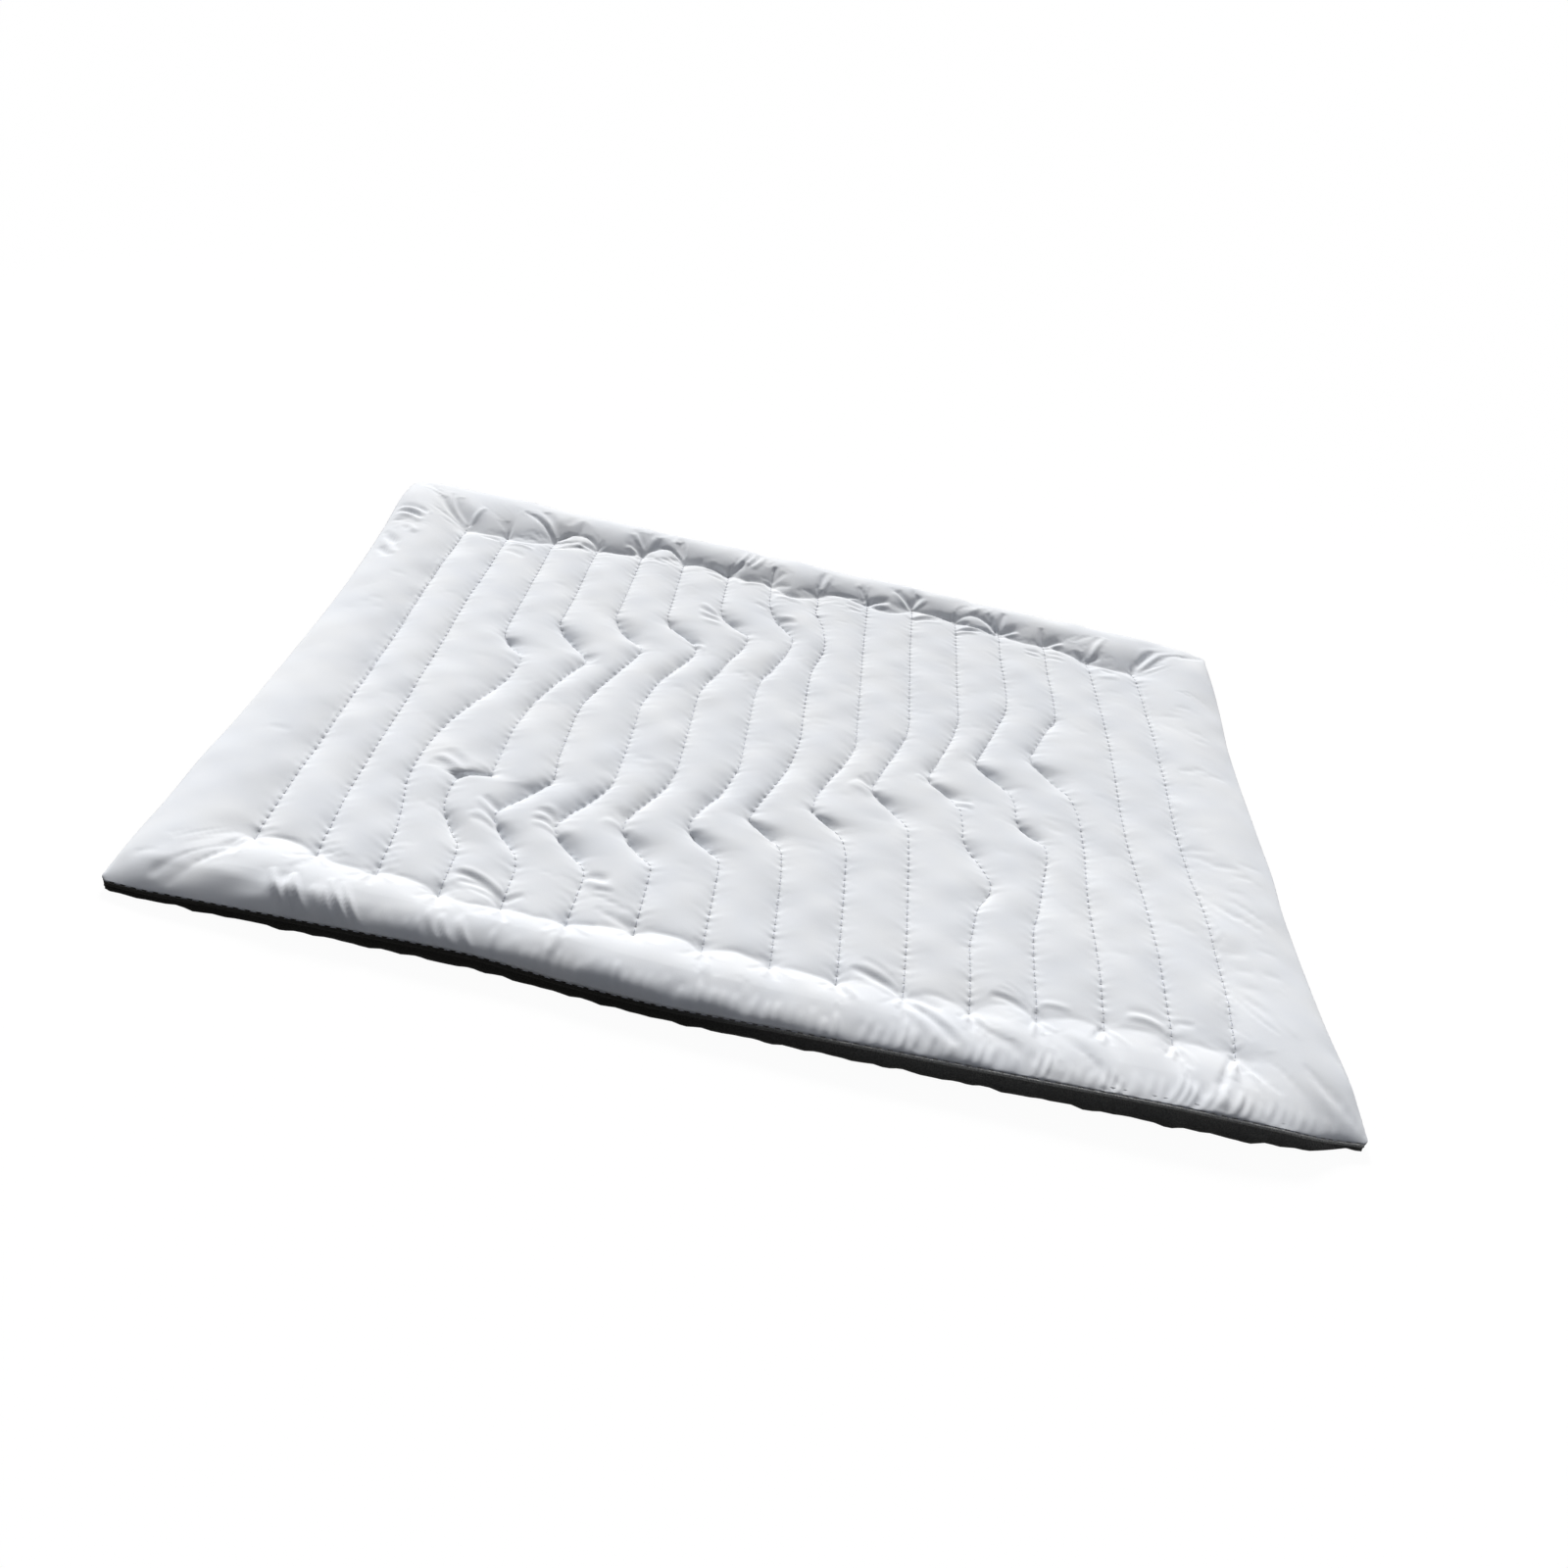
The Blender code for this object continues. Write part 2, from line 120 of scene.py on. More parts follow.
# Quilting lines from their front end to their back end, as (x, y).
LINES = (
    ((61, 53), (61.4, 120), (62.8, 200), (63.9, 300), (63.3, 360), (64.3, 477)),
    ((97.4, 49.5), (95.5, 90), (94.2, 115), (95.5, 200), (96.1, 300), (95.5, 360), (97.1, 400), (98, 479)),
    ((132.9, 44), (131.8, 80), (129.9, 93), (125.2, 120), (122.9, 131), (122, 146), (122.3, 159), (124.8, 187),
     (129.3, 208), (136.3, 230), (144.6, 253), (150.7, 273), (152.9, 293), (152.2, 301), (142, 315),
     (133.8, 328), (132.8, 345), (133.8, 400), (134.4, 488)),
    ((169.8, 37.4), (169.2, 72), (167.6, 83), (162.4, 93), (150, 118), (149, 130), (149.4, 142.6), (151, 147.7),
     (156, 150.3), (165, 153), (168.2, 157), (168.7, 200), (170.7, 225), (174.6, 248), (180.9, 269), (188, 293),
     (195.9, 316.5), (190.5, 327), (182.9, 336), (170.7, 351), (167.6, 360), (168.8, 400), (169.8, 492)),
    ((204.9, 37.4), (204.5, 70), (202.6, 80), (199.4, 88), (188, 103), (181, 116), (182, 123), (185.4, 130),
     (197.5, 149), (206.2, 165.6), (204, 193), (204, 232), (205.8, 259), (210.9, 279), (226.2, 327),
     (231.3, 347), (228.8, 353.5), (213.5, 370), (207, 382), (204.5, 390), (205.3, 405), (206.5, 499)),
    ((241.9, 35.5), (243.4, 77.6), (241.5, 85), (236.4, 93), (222.4, 108), (217.9, 118), (221.8, 131),
     (233.9, 154), (240.2, 167), (242.8, 177), (244, 242), (243.8, 270), (245.9, 284.5), (251, 309), (258.7, 328),
     (270, 362), (267.6, 374), (260.6, 381), (247.2, 392), (242.1, 406), (241.8, 440), (241.2, 502)),
    ((279.7, 40), (280, 79), (279.7, 97), (277.8, 103), (268.3, 114.5), (261.9, 122), (257.2, 130.5),
     (257.4, 137.5), (260.6, 148), (277.2, 190), (279.7, 209), (280, 242), (280.4, 297), (283.6, 318),
     (290, 337), (295, 356), (305.9, 394.6), (305.9, 401.6), (296.3, 412), (283.6, 426.5), (280.1, 440),
     (279.7, 500.5)),
    ((319, 36.7), (319.3, 111), (317.4, 121), (312.9, 127), (300.2, 139), (295.7, 146.4), (302.7, 171),
     (311, 188.5), (316, 207), (319.5, 226), (319.6, 280), (320, 318), (322.5, 341), (328.9, 358), (340, 402),
     (340.7, 411), (335.9, 425), (324.4, 442), (318, 459.6), (316.7, 471), (316, 497)),
    ((358.2, 34.8), (357.2, 111), (355.6, 137.5), (353.7, 145), (349.9, 151.5), (336.5, 163), (332, 168),
     (332.4, 171), (342.9, 205.5), (349.9, 228), (355, 253), (357.3, 278), (357.3, 332), (358.2, 365),
     (366.2, 411), (362.7, 444), (360, 453), (355.6, 469), (356.3, 482.6), (356, 496)),
    ((396.2, 33), (396.5, 98), (396.2, 146), (394.5, 158), (392.6, 167), (388.8, 175), (378, 185),
     (371.6, 189), (372.2, 202), (380.5, 231), (388.8, 251), (395.2, 273), (396.8, 283), (396.8, 412),
     (397.7, 501)),
    ((434, 30.4), (435.6, 85.2), (436.2, 149), (435.7, 187), (434.7, 194), (431.5, 202.9), (416.2, 222),
     (411.1, 228), (410.5, 233), (412.4, 240), (418.1, 259), (426.4, 284.5), (433.4, 310), (435.1, 331.7),
     (434.7, 420), (435.9, 509)),
    ((472.3, 30), (473.3, 69.9), (473.6, 85.2), (475.7, 98), (479.7, 122.8), (488.9, 145.2), (489.5, 150.9),
     (488.2, 156), (480.6, 177), (474.2, 189.8), (472.2, 197), (472.7, 205.5), (471.7, 225.9), (470, 232.2),
     (464, 243.7), (450.6, 254.6), (449.7, 259), (456.1, 281.4), (467.8, 320.3), (472.6, 350.9), (472.7, 425),
     (473.3, 505.5)),
    ((510.9, 33.6), (512.5, 82.7), (514.1, 110.7), (519.2, 133.7), (524, 160.5), (529.4, 199.1), (528.7, 206.7),
     (525.9, 211.2), (512.5, 225.9), (510.6, 233.5), (510.8, 248.8), (508, 261.6), (505.5, 268), (491.4, 280.7),
     (484.4, 290.9), (488.9, 306.2), (501, 343.2), (510.9, 379.3), (512.3, 399.7), (510, 463.5), (510.6, 503)),
    ((550.5, 37.5), (552.9, 104.3), (553.3, 159.2), (556.9, 216.9), (556.5, 243.7), (552.7, 269.2), (547.6, 282),
     (532.2, 303), (527.8, 308.1), (525.9, 315.2), (529.7, 326.6), (542.4, 361.4), (549.8, 378), (550.5, 399.7),
     (549.1, 450.7), (548.8, 498)),
    ((590.4, 37), (592.8, 112), (592.4, 164.3), (588.6, 241.2), (590.4, 361.4), (588.6, 417.6), (585.3, 484.5)),
    ((626.9, 35), (632.2, 110.7), (632.2, 164.3), (629.4, 209.3), (627.4, 273.1), (629.1, 326.6),
     (628.4, 399.7), (625.4, 473.7), (624.8, 483.9)),
)
LINE_COUNT = len(LINES)

# Seam outline: (place along the edge, how far the seam stands out or is drawn in there).
FRONT_OUT = ((0, 0), (30, 3), (195, 4), (227, 6), (260, 9), (320, 12.5), (470, 13), (600, 13), (651, 11),
             (687, 2), (700, 0))
LEFT_IN = ((0, 0), (29, 1.4), (67, 4), (108, 4.6), (154, 7.3), (203, 8.8), (256, 9.8), (315, 10.3), (380, 9),
           (450, 5.5), (528, 0), (550, 0))
RIGHT_IN = ((0, 0), (35, 0.6), (60, 3), (92, 5.6), (123, 7.2), (162, 8.6), (191, 9), (232, 7.6), (265, 8.2),
            (300, 8.8), (350, 9.6), (390, 9.2), (432, 6.5), (479, 3.7), (532, 1.5), (550, 0))

# Height of the seam above the floor: (place along the edge, height).
FRONT_SEAM = ((0, 5), (40, 7.2), (120, 9), (190, 10.5), (250, 9), (300, 10), (390, 13), (500, 15.2), (594, 17),
              (648, 14.5), (685, 6.5), (700, 5.5))
SIDE_SEAM = ((0, 6), (60, 9.5), (275, 10), (490, 9.5), (550, 6))
BACK_SEAM = ((0, 6), (70, 7.5), (350, 8), (630, 7.5), (700, 6))

# Reach of the front crease into the field, width of the front's rolled edge and the power of its round, height
# of the border's crown, and how far the field swells up behind the front border: (place along the edge, size).
FRONT_CREASE = ((0, 14), (48, 13), (66, 4), (380, 4), (430, 8), (530, 14), (700, 14))
FRONT_ROLL = ((0, 20), (50, 17), (95, 14), (150, 15), (200, 17), (400, 14), (610, 14), (645, 32), (700, 36))
FRONT_ROUND = ((0, 1.1), (50, 1.12), (95, 1.35), (150, 1.6), (280, 2), (600, 2), (640, 1.5), (700, 1.3))
FRONT_CROWN = ((0, 15.5), (40, 17.2), (120, 17.4), (200, 17.6), (400, 17), (560, 18.2), (640, 19), (680, 18.5),
               (700, 14.5))
FRONT_SWELL = ((0, 0), (380, 0), (480, 2.6), (580, 4.2), (640, 4), (700, 0))
LEFT_CROWN = ((0, 13), (60, 13.2), (275, 13.8), (450, 15), (510, 17.5), (550, 14))
RIGHT_CROWN = ((0, 13), (50, 15.5), (120, 14.2), (275, 13.8), (450, 14.6), (510, 16.5), (550, 13))
BACK_CROWN = ((0, 14), (70, 17.2), (350, 17.6), (630, 17.2), (700, 13))

# The crease that joins the lines' ends. Between two ends it arches back by the first number, and its depth is
# the second number's share of a line's. Beside the field it runs on, as (across, back).
FRONT_ARCS = ((4, 0.6), (-5, 0.3), (2, 0.3), (-5, 0.3), (-3, 0.25), (0, 0.4), (4, 0.45), (4, 0.45), (1, 0.35),
              (6, 0.35), (6, 0.35), (8, 0.4), (4, 0.4), (4, 0.45), (3, 0.45))
BACK_ARCS = ((-5, 0.8), (-9, 0.6), (15, 0.95), (-2, 0.95), (15, 0.6), (2, 0.95), (-5, 0.5), (-11, 0.5), (5, 0.6),
             (-12, 0.6), (0, 0.7), (13, 0.8), (-6, 0.9), (1, 0.9), (-4, 0.6))
FRONT_LEFT_CREASE = ((20, 2), (30, 14), (42, 28), (53, 37), (59, 43), (61, 53))
FRONT_RIGHT_CREASE = ((626.9, 35), (634, 30), (639, 18), (644, 4))
BACK_LEFT_CREASE = ((20, 497), (64.3, 477))
BACK_RIGHT_CREASE = ((624.8, 483.9), (660, 503.9))

# Folds and puckers in the border and round the lines' ends, as (across, back) from and to, how far the middle
# bows to the left of that direction, width and height. A fold of negative height is a groove.
BACK_FOLDS = (
    (60, 482, 33, 514, 3, 2.2, -0.7), (62, 483, 37, 524, 3, 2.2, 0.7), (63, 484, 41, 520, 2, 2.2, -0.8),
    (66, 480, 50, 515, 1, 4, -1.3), (67, 482, 73, 506, 1, 2, 0.8), (98, 478, 93, 496, 0, 3, -0.8),
    (102, 468, 123, 466, 2, 2, -0.7), (102, 464, 122, 462, 2, 2, 0.6), (102, 453, 119, 446, 1, 2.4, -0.5),
    (79, 466, 95, 468, 0, 2, -0.6), (133, 491, 103, 513, -3, 2, -0.8), (133, 494, 110, 520, -2, 2.4, 0.7),
    (135, 495, 120, 521, -1, 4, -1.2), (137, 492, 146, 501, 0, 3, -0.8), (204, 492, 192, 503, -3, 2, 0.8),
    (206, 497, 200, 525, 0, 2.6, -0.8), (208, 500, 215, 526, 1, 2.4, 0.8), (207, 505, 195, 521, 1, 2, 0.6),
    (207, 497, 206, 525, 0, 3, -0.7), (242, 500, 232, 526, 0, 4, -1.2), (243, 500, 257, 508, 0, 3, -1.0),
    (243, 497, 253, 504, 0, 2, 0.5), (278, 500, 262, 508, 0, 3, -1.1), (280, 500, 291, 513, 0, 3, -1.1),
    (284, 508, 292, 533, -2, 1.9, 0.9), (287, 508, 295, 533, -2, 1.9, -0.6), (290, 508, 298, 533, -2, 1.9, 0.9),
    (293, 508, 301, 532, -2, 1.9, -0.6), (297, 508, 306, 531, -2, 1.9, 0.8), (277, 498, 258, 493, -1, 2, -0.7),
    (262, 489, 276, 485, 0, 2, -0.6), (288, 488, 307, 498, 2, 3, -0.7), (292, 484, 313, 492, 2, 2.5, 0.5),
    (315, 500, 316, 518, 0, 3, -1.0), (316, 500, 325, 513, 0, 2.5, -0.7), (318, 481, 341, 486, 0, 4, -1.0),
    (320, 477, 344, 476, 0, 3, 0.4), (355, 498, 358, 526, 0, 3, -1.0), (358, 502, 364, 523, 0, 2.4, 0.6),
    (396, 502, 389, 517, 0, 2.5, -0.9), (394, 505, 387, 521, 1, 2, 0.8), (397, 502, 415, 508, 0, 3, -1.2),
    (398, 497, 417, 502, 0, 2.6, 0.8), (380, 490, 393, 487, 0, 1.9, -0.5), (381, 482, 394, 481, 0, 1.9, -0.5),
    (434, 510, 421, 525, 0, 3.4, -1.3), (431, 508, 418, 520, 0, 2, 0.8), (435, 512, 441, 526, 0, 2.4, -1.0),
    (437, 510, 447, 523, 0, 2, 0.6), (434, 489, 463, 503, 5, 2, 0.7), (438, 488, 457, 496, 2, 3, -0.9),
    (436, 482, 461, 493, 3, 2.4, 0.5), (471, 505, 473, 519, 0, 2.5, -0.8), (470, 505, 457, 510, 0, 3, -0.9),
    (472, 489, 497, 497, 3, 2, 0.8), (472, 486, 493, 493, 3, 1.9, -0.6), (472, 483, 491, 489, 2, 2, 0.6),
    (508, 502, 488, 522, 0, 3.4, -1.2), (509, 503, 500, 523, 0, 2.5, -1.0), (508, 499, 491, 515, 0, 2, 0.8),
    (510, 504, 514, 525, 0, 2.5, -1.0), (511, 503, 527, 508, 0, 3, -1.0), (511, 499, 528, 504, 0, 2, 0.8),
    (547, 495, 546, 516, 0, 2.5, -0.8), (549, 498, 564, 506, 0, 3, -1.1), (549, 494, 566, 502, 0, 2.2, 1.0),
    (531, 480, 545, 482, 0, 1.9, -0.5), (531, 473, 545, 474, 0, 1.9, -0.5), (549, 482, 565, 479, 2, 2, -0.5),
    (549, 475, 564, 472, 2, 2, -0.5), (583, 484, 575, 497, 0, 2, -0.7), (584, 486, 580, 503, 0, 2, -0.6),
    (585, 486, 597, 492, 0, 2.5, -0.8), (588, 488, 603, 521, 1, 2.2, 0.9), (586, 490, 597, 521, 1, 2.6, -0.7),
    (596, 475, 608, 472, 0, 3, -0.7), (592, 461, 611, 467, 0, 3, 0.5), (626, 483, 652, 517, 0, 2.6, 1.3),
    (624, 485, 644, 517, 0, 3.4, -1.1), (629, 498, 638, 519, 0, 2.2, 0.5),
)
LEFT_FOLDS = (
    (5, 487, 33, 477, 2, 3, -1.1), (6, 481, 31, 471, 2, 2.6, 0.9), (7, 476, 29, 466, 2, 2.6, -1.1),
    (8, 470, 31, 460, 2, 2.6, 0.9), (9, 462, 27, 443, 2, 3, -1.2), (12, 458, 33, 440, 2, 2.6, 1.0),
    (9, 440, 24, 420, 0, 2.8, -1.3), (11, 432, 28, 407, 1, 2.6, -1.1), (14, 412, 24, 396, 0, 2.6, -1.3),
    (13, 426, 27, 402, 0, 2.4, 0.8),
)
FRONT_FOLDS = (
    (97, 40, 90, 14, 0, 2.2, -0.5), (203, 44, 171, 58, -3, 2.1, -0.9), (204, 41, 177, 51, -3, 1.9, -0.7),
    (204, 38, 184, 45, -2, 1.8, -0.6), (203, 47, 174, 62, -3, 2, 0.4), (206, 42, 215, 49, 0, 2, -0.6),
    (242, 36, 259, 37, 0, 2, -0.5), (255, 52, 277, 42, 0, 3, -0.5), (251, 66, 271, 52, 0, 4, -0.4),
    (245, 79, 258, 76, 0, 3, -1.0), (245, 73, 262, 70, 0, 3, 0.6), (241, 32, 240, 2, 0, 2.2, 0.6),
    (318, 34, 324, 2, 1, 2.4, 0.6), (397, 31, 405, 15, 1, 2.4, 0.5), (434, 26, 463, -4, 2, 2.5, -0.8),
    (431, 20, 452, -4, 2, 2.8, 0.7), (440, 26, 471, -4, 2, 2.8, 0.6), (437, 33, 456, 24, 0, 3, -0.8),
    (432, 34, 403, 47, -2, 2.8, -1.2), (432, 41, 409, 56, -2, 2.2, -0.5), (430, 31, 406, 40, -1, 2.4, 0.6),
    (508, 37, 484, 46, -3, 2.4, -1.0), (508, 41, 489, 53, -2, 1.8, -0.5), (508, 44, 493, 58, -1, 1.8, -0.4),
    (511, 40, 516, 22, 0, 2.5, -0.7), (512, 37, 513, 19, 0, 2.2, 0.6), (512, 47, 531, 46, 1, 2, 0.5),
    (549, 39, 544, 25, 0, 2, -0.8), (588, 38, 582, 26, 0, 3, -0.6), (592, 40, 590, 27, 0, 3, 0.5),
    (564, 50, 585, 47, 2, 2.4, 0.6), (565, 55, 589, 51, 2, 3, -0.5), (592, 51, 606, 55, 1, 3, -0.5),
    (625, 37, 610, 3, 0, 2, -1.1), (629, 37, 620, 14, -2, 3.4, 0.8),
    (632, 25, 641, 4, 1, 3, 0.7), (634, 98, 669, 61, 0, 6, -0.6),
    (633, 140, 668, 100, 0, 7, -0.5), (632, 190, 664, 150, 0, 7, -0.5), (631, 240, 655, 205, 0, 6, -0.4),
    (631, 290, 650, 262, 0, 5, -0.3), (467, 18, 507, -3, 2, 5, -0.7), (474, 24, 512, 2, 2, 5, 0.6),
    (519, 24, 551, -12, 3, 5, -0.7), (526, 26, 556, -8, 3, 5, 0.6), (586, 30, 603, -4, -3, 4, -0.7),
    (648, 44, 670, -5, 0, 6, -0.7),
)
JOG_FOLDS = (
    (150, 146, 131, 158, -3, 2.0, -0.6), (150, 143, 130, 153, -3, 1.8, -0.5), (150, 149, 133, 163, -3, 2.2, 0.5),
    (151, 152, 136, 170, -4, 4.0, -0.7), (182, 121, 171, 131, 0, 2.4, -0.7), (182, 117, 168, 128, 1, 2.0, 0.6),
    (182, 112, 166, 115, 2, 1.8, -0.5), (184, 105, 167, 113, -2, 2.2, 0.9), (185, 101, 168, 108, -2, 2.0, -0.5),
    (217, 121, 203, 129, -3, 1.8, -0.6), (217, 118, 202, 123, -3, 1.8, 0.5), (217, 115, 204, 119, -3, 1.6, -0.5),
    (218, 112, 203, 116, -2, 2.0, 0.5), (218, 125, 206, 134, -3, 2.0, 0.4), (257, 136, 250, 148, 0, 2.2, -0.4),
    (257, 126, 243, 133, -2, 3.0, 0.5), (410, 231, 400, 240, 0, 2.0, -0.6), (410, 228, 398, 234, 0, 2.0, 0.5),
    (411, 235, 405, 246, 0, 2.0, -0.5), (410, 222, 394, 231, 0, 3.5, 0.7), (449, 252, 441, 258, 0, 2.2, 0.5),
    (466, 241, 480, 239, 0, 2.0, -0.7), (467, 238, 481, 234, 0, 2.0, 0.5), (468, 235, 480, 230, 0, 1.8, -0.4),
    (280, 425, 266, 436, 1, 2.0, 0.7), (281, 421, 264, 430, 1, 1.8, -0.6), (282, 417, 265, 423, 1, 1.8, 0.6),
    (283, 413, 266, 417, 1, 1.8, -0.5), (284, 408, 268, 411, 1, 2.0, 0.5), (262, 378, 276, 370, 1, 2.0, -0.7),
    (266, 374, 277, 365, 1, 1.8, 0.5), (325, 441, 342, 436, 0, 2.4, -0.7), (324, 445, 340, 443, 0, 2.2, 0.5),
    (316, 452, 306, 458, 0, 2.0, -0.5), (196, 318, 199, 307, 0, 3.0, -0.8), (192, 322, 203, 316, 0, 3.5, -0.9),
)
FOLD_STRENGTH = 1.7
FOLD_WIDTH = 1.3
FOLD_CRISP = 1.25  # how much steeper a fold is on its right side
# Gathers along the front seam: from and to, spacing, how far each leans to the right, length, width and height.
FRONT_GATHERS = (
    (104, 150, 6.6, -17, 21, 1.9, 1.3), (187, 206, 7.0, -14, 18, 2.0, 1.2), (153, 182, 8.0, -10, 13, 1.9, 0.5),
    (210, 400, 6.1, -2, 12, 1.9, 0.45), (410, 500, 7.0, 4, 13, 1.9, 0.45), (502, 575, 5.3, 6, 14, 1.8, 0.6),
    (575, 690, 6.2, 12, 17, 1.9, 0.8),
)
GATHER_JITTER = 0.3  # share of a gather's spacing, length and height that is left to chance
GATHER_FOOT = 4.0  # how far in front of the seam a gather starts
GATHER_BOW_SHARE = 0.15  # its bow as a share of its lean

# Fine folds that fan out forward from every line's front end.
RAYS = 4
RAY_ANGLE = 0.42  # radians between two of them
RAY_ANGLE_CHANCE = 0.15
RAY_LENGTHS = (13, 22)
RAY_BOW = 1.0
RAY_WIDTHS = (1.5, 2.2)
RAY_HEIGHT = 0.5
RAY_HEIGHT_SHARES = (0.6, 1.2)

PUCKER_HEIGHT = 0.5
PUCKER_SHARES = (0.7, 1.1, 0.4, 0.5)  # strength along a line, and more by its turn, by its slant and at its ends
PUCKER_TURN = 9.0  # the turn is measured this far to both sides
PUCKER_END_REACH = 12.0
PUCKER_REACH = 4.5  # how far from a quilting line its puckers reach
PUCKER_LEAN = 0.5
PUCKER_WAVES = (6.7, 9.9, 14.3)
STITCH_PUCKER = 0.05  # rise of the cloth at both sides between two needle holes
STITCH_PUCKER_REACH = 2.5
HOLE_DEPTH = 0.12
HOLE_RADIUS = 1.4
HOLE_SIZE = 0.9  # radius of the painted shade spot round a needle hole
# Painted shade: how far the cloth is darkened in each needle hole and along each line's groove
HOLE_SHADE = 0.38
GROOVE_SHADE = 0.03

DRAPE_HEIGHT = 0.36
DRAPE_WAVES = 16
DRAPE_LENGTHS = (22, 75)
DRAPE_TURN = (0.8, 0.6)  # mean and spread of the waves' directions, in radians
DRAPE_SUM = 3  # the usual size of the waves' sum

# The underside's wall from the edge seam down to the floor: a turned lip, as (in from the seam, below the seam),
# and then the wall, as (in from the seam, share of the height that is left).
LIP = ((0, 0), (-1.0, 0.1), (-1.7, 0.8), (-1.4, 1.8), (-0.5, 2.4))
WALL = ((-0.3, 0.88), (-1.3, 0.62), (-1.7, 0.36), (-0.6, 0.12), (2.5, 0.0))
FLOOR_RINGS = (7.0, 12.0)  # rings on the floor between the wall and the quilting, in from the seam
LEAST_RING = 0.25  # least step between two rings in plan
WALL_WAVE = 0.4
WALL_WAVE_COUNT = 5
WALL_WAVES = (13, 48)  # shortest and longest of them
WALL_RINGS = (4, 7, 9, 12)  # rings where the waves begin, are full, begin to fade and end
SIDE_BULGE = 0.25  # share of the lip and of the wall's bulge at the left and right sides
SIDE_RINGS = 8  # rings that it applies to
LIFT_SHARPER = 1.25  # how much narrower the lift along a line is than its crease above
INNER_WALL = (0.7, 0.15)  # height of the inner skin's two middle rings, as shares of the seam's
INNER_STEP = 0.3  # from one of its rings to the next in plan
LIP_HIGHLIGHT = ((0, 1), (1, 1), (3, 1), (4, 0.45), (7, 0.2), (8, 0.08))  # (ring, share of the grey painted highlight on the suede there)
HIGHLIGHT_LEFT = (290, 170)  # it begins this far across and grows over this length
HIGHLIGHT_BACK = (120, 80)  # and ends this far back and fades over this length

COVER_CLOTH = 1.0
UNDERSIDE_CLOTH = 1.2
HEM_FOLD = 2.0  # width of the cloth turned in at the edge seam
WADDING_INSET = 3.3  # from the edge seam in to the wadding's edge
WADDING_EDGE = 1.0  # half the wadding's thickness at its edge
WADDING_RISE = 0.3  # how far the ring beside its edge stays above the underside, as a share of the seam's height
LAYER_GAP = 0.4

THREAD_RADIUS = 0.32
STITCH_PITCH = 6.1
STITCH_LENGTH = 4.6  # the part of a stitch that lies on the cloth
STITCH_REACH = 8.0  # how far from a line the cover's material knows its stitches
STITCH_SIDES = 6
STITCH_RINGS = 7
STITCH_ARCH = (1.5, 0.4, 0.9)  # height of its arch in thread radii, power of its round and depth of its ends
STITCH_TAPER = (0.55, 0.45)  # share of the radius at its ends, and what the middle has more

# The cloth simulation of the top, on every second row and column.
SIM_FRAMES = 24
SIM_QUALITY = 5
SIM_MASS = 0.3
SIM_TENSION = 15.0
SIM_SHEAR = 5.0
SIM_BENDING = 0.1
SIM_PRESSURE = 30.0
LOOSE_SHARE = 0.08  # how much longer than its seam the loosest cloth was cut
LOOSE_REACH = 18.0  # how far from the front and back seams it reaches
LOOSE_LEAST = 0.1  # share of that looseness in the field
GATHER_START = 60.0  # left of here the front hem isn't gathered
MOST_SHIFT = 5.0  # no point moves further than this in it
ON_LINE = 1e-6  # a point this near in channel coordinate lies on its line

# The nets' steps: from the seam, over the left border, a channel, the right border, and from front to back.
# Rows lie closer where the border meets the field. Every fourth column and row is shared with the coarse skins.
EDGE_STEPS = 12
TOP_STEPS = (28, 28, 32, (48, 196, 64))
UNDERSIDE_STEPS = (8, 8, 12, (24, 120, 32))
FRONT_ZONE = 75.0
BACK_ZONE = 455.0
COARSE = 4
EVERY = (slice(None, None, COARSE),) * 2
LINE_EASE = 0.3  # how much closer together columns lie near a quilting line


def smooth(t):
    """A smooth step from 0 to 1 as t goes from 0 to 1."""
    t = np.clip(t, 0.0, 1.0)
    return t * t * (3 - 2 * t)


def curve(points, at):
    """A smooth line through (place, value) points that never swings past them.

    It is a cubic between neighbours. Its slope at a point is the harmonic mean of the slopes on both sides,
    or zero where these differ in sign.
    """
    place, value = np.array(points, float).T
    step = np.diff(place)
    slope = np.diff(value) / step
    before, after = slope[:-1], slope[1:]
    same = before * after > 0
    total = np.where(same, before + after, 1.0)
    tangent = np.concatenate([slope[:1], np.where(same, 2 * before * after / total, 0.0), slope[-1:]])
    at = np.clip(at, place[0], place[-1])
    i = np.clip(np.searchsorted(place, at) - 1, 0, len(step) - 1)
    t = (at - place[i]) / step[i]
    return (
        value[i] * (1 + 2 * t) * (1 - t) ** 2 + value[i + 1] * t * t * (3 - 2 * t)
        + step[i] * (tangent[i] * t * (1 - t) ** 2 - tangent[i + 1] * t * t * (1 - t))
    )


def line_x(number, y):
    """How far across a quilting line lies at depth y. Past its ends it runs straight on."""
    return curve([(back, across) for across, back in LINES[number]], y)


def left_seam(y):
    """How far across the left seam lies at depth y."""
    return curve(LEFT_IN, y)


def right_seam(y):
    """How far across the right seam lies at depth y."""
    return WIDTH - curve(RIGHT_IN, y)


def front_seam(x):
    """How far back the front seam lies at place x."""
    return -curve(FRONT_OUT, x)


FRONT_ENDS = np.array([line[0][1] for line in LINES], float)
BACK_ENDS = np.array([line[-1][1] for line in LINES], float)


def roll_steps():
    """Distances in from the seam that give equal steps round the border's rolled edge."""
    return EDGE_ROLL * (1 - np.cos(np.linspace(0, np.pi / 2, EDGE_STEPS + 1)))


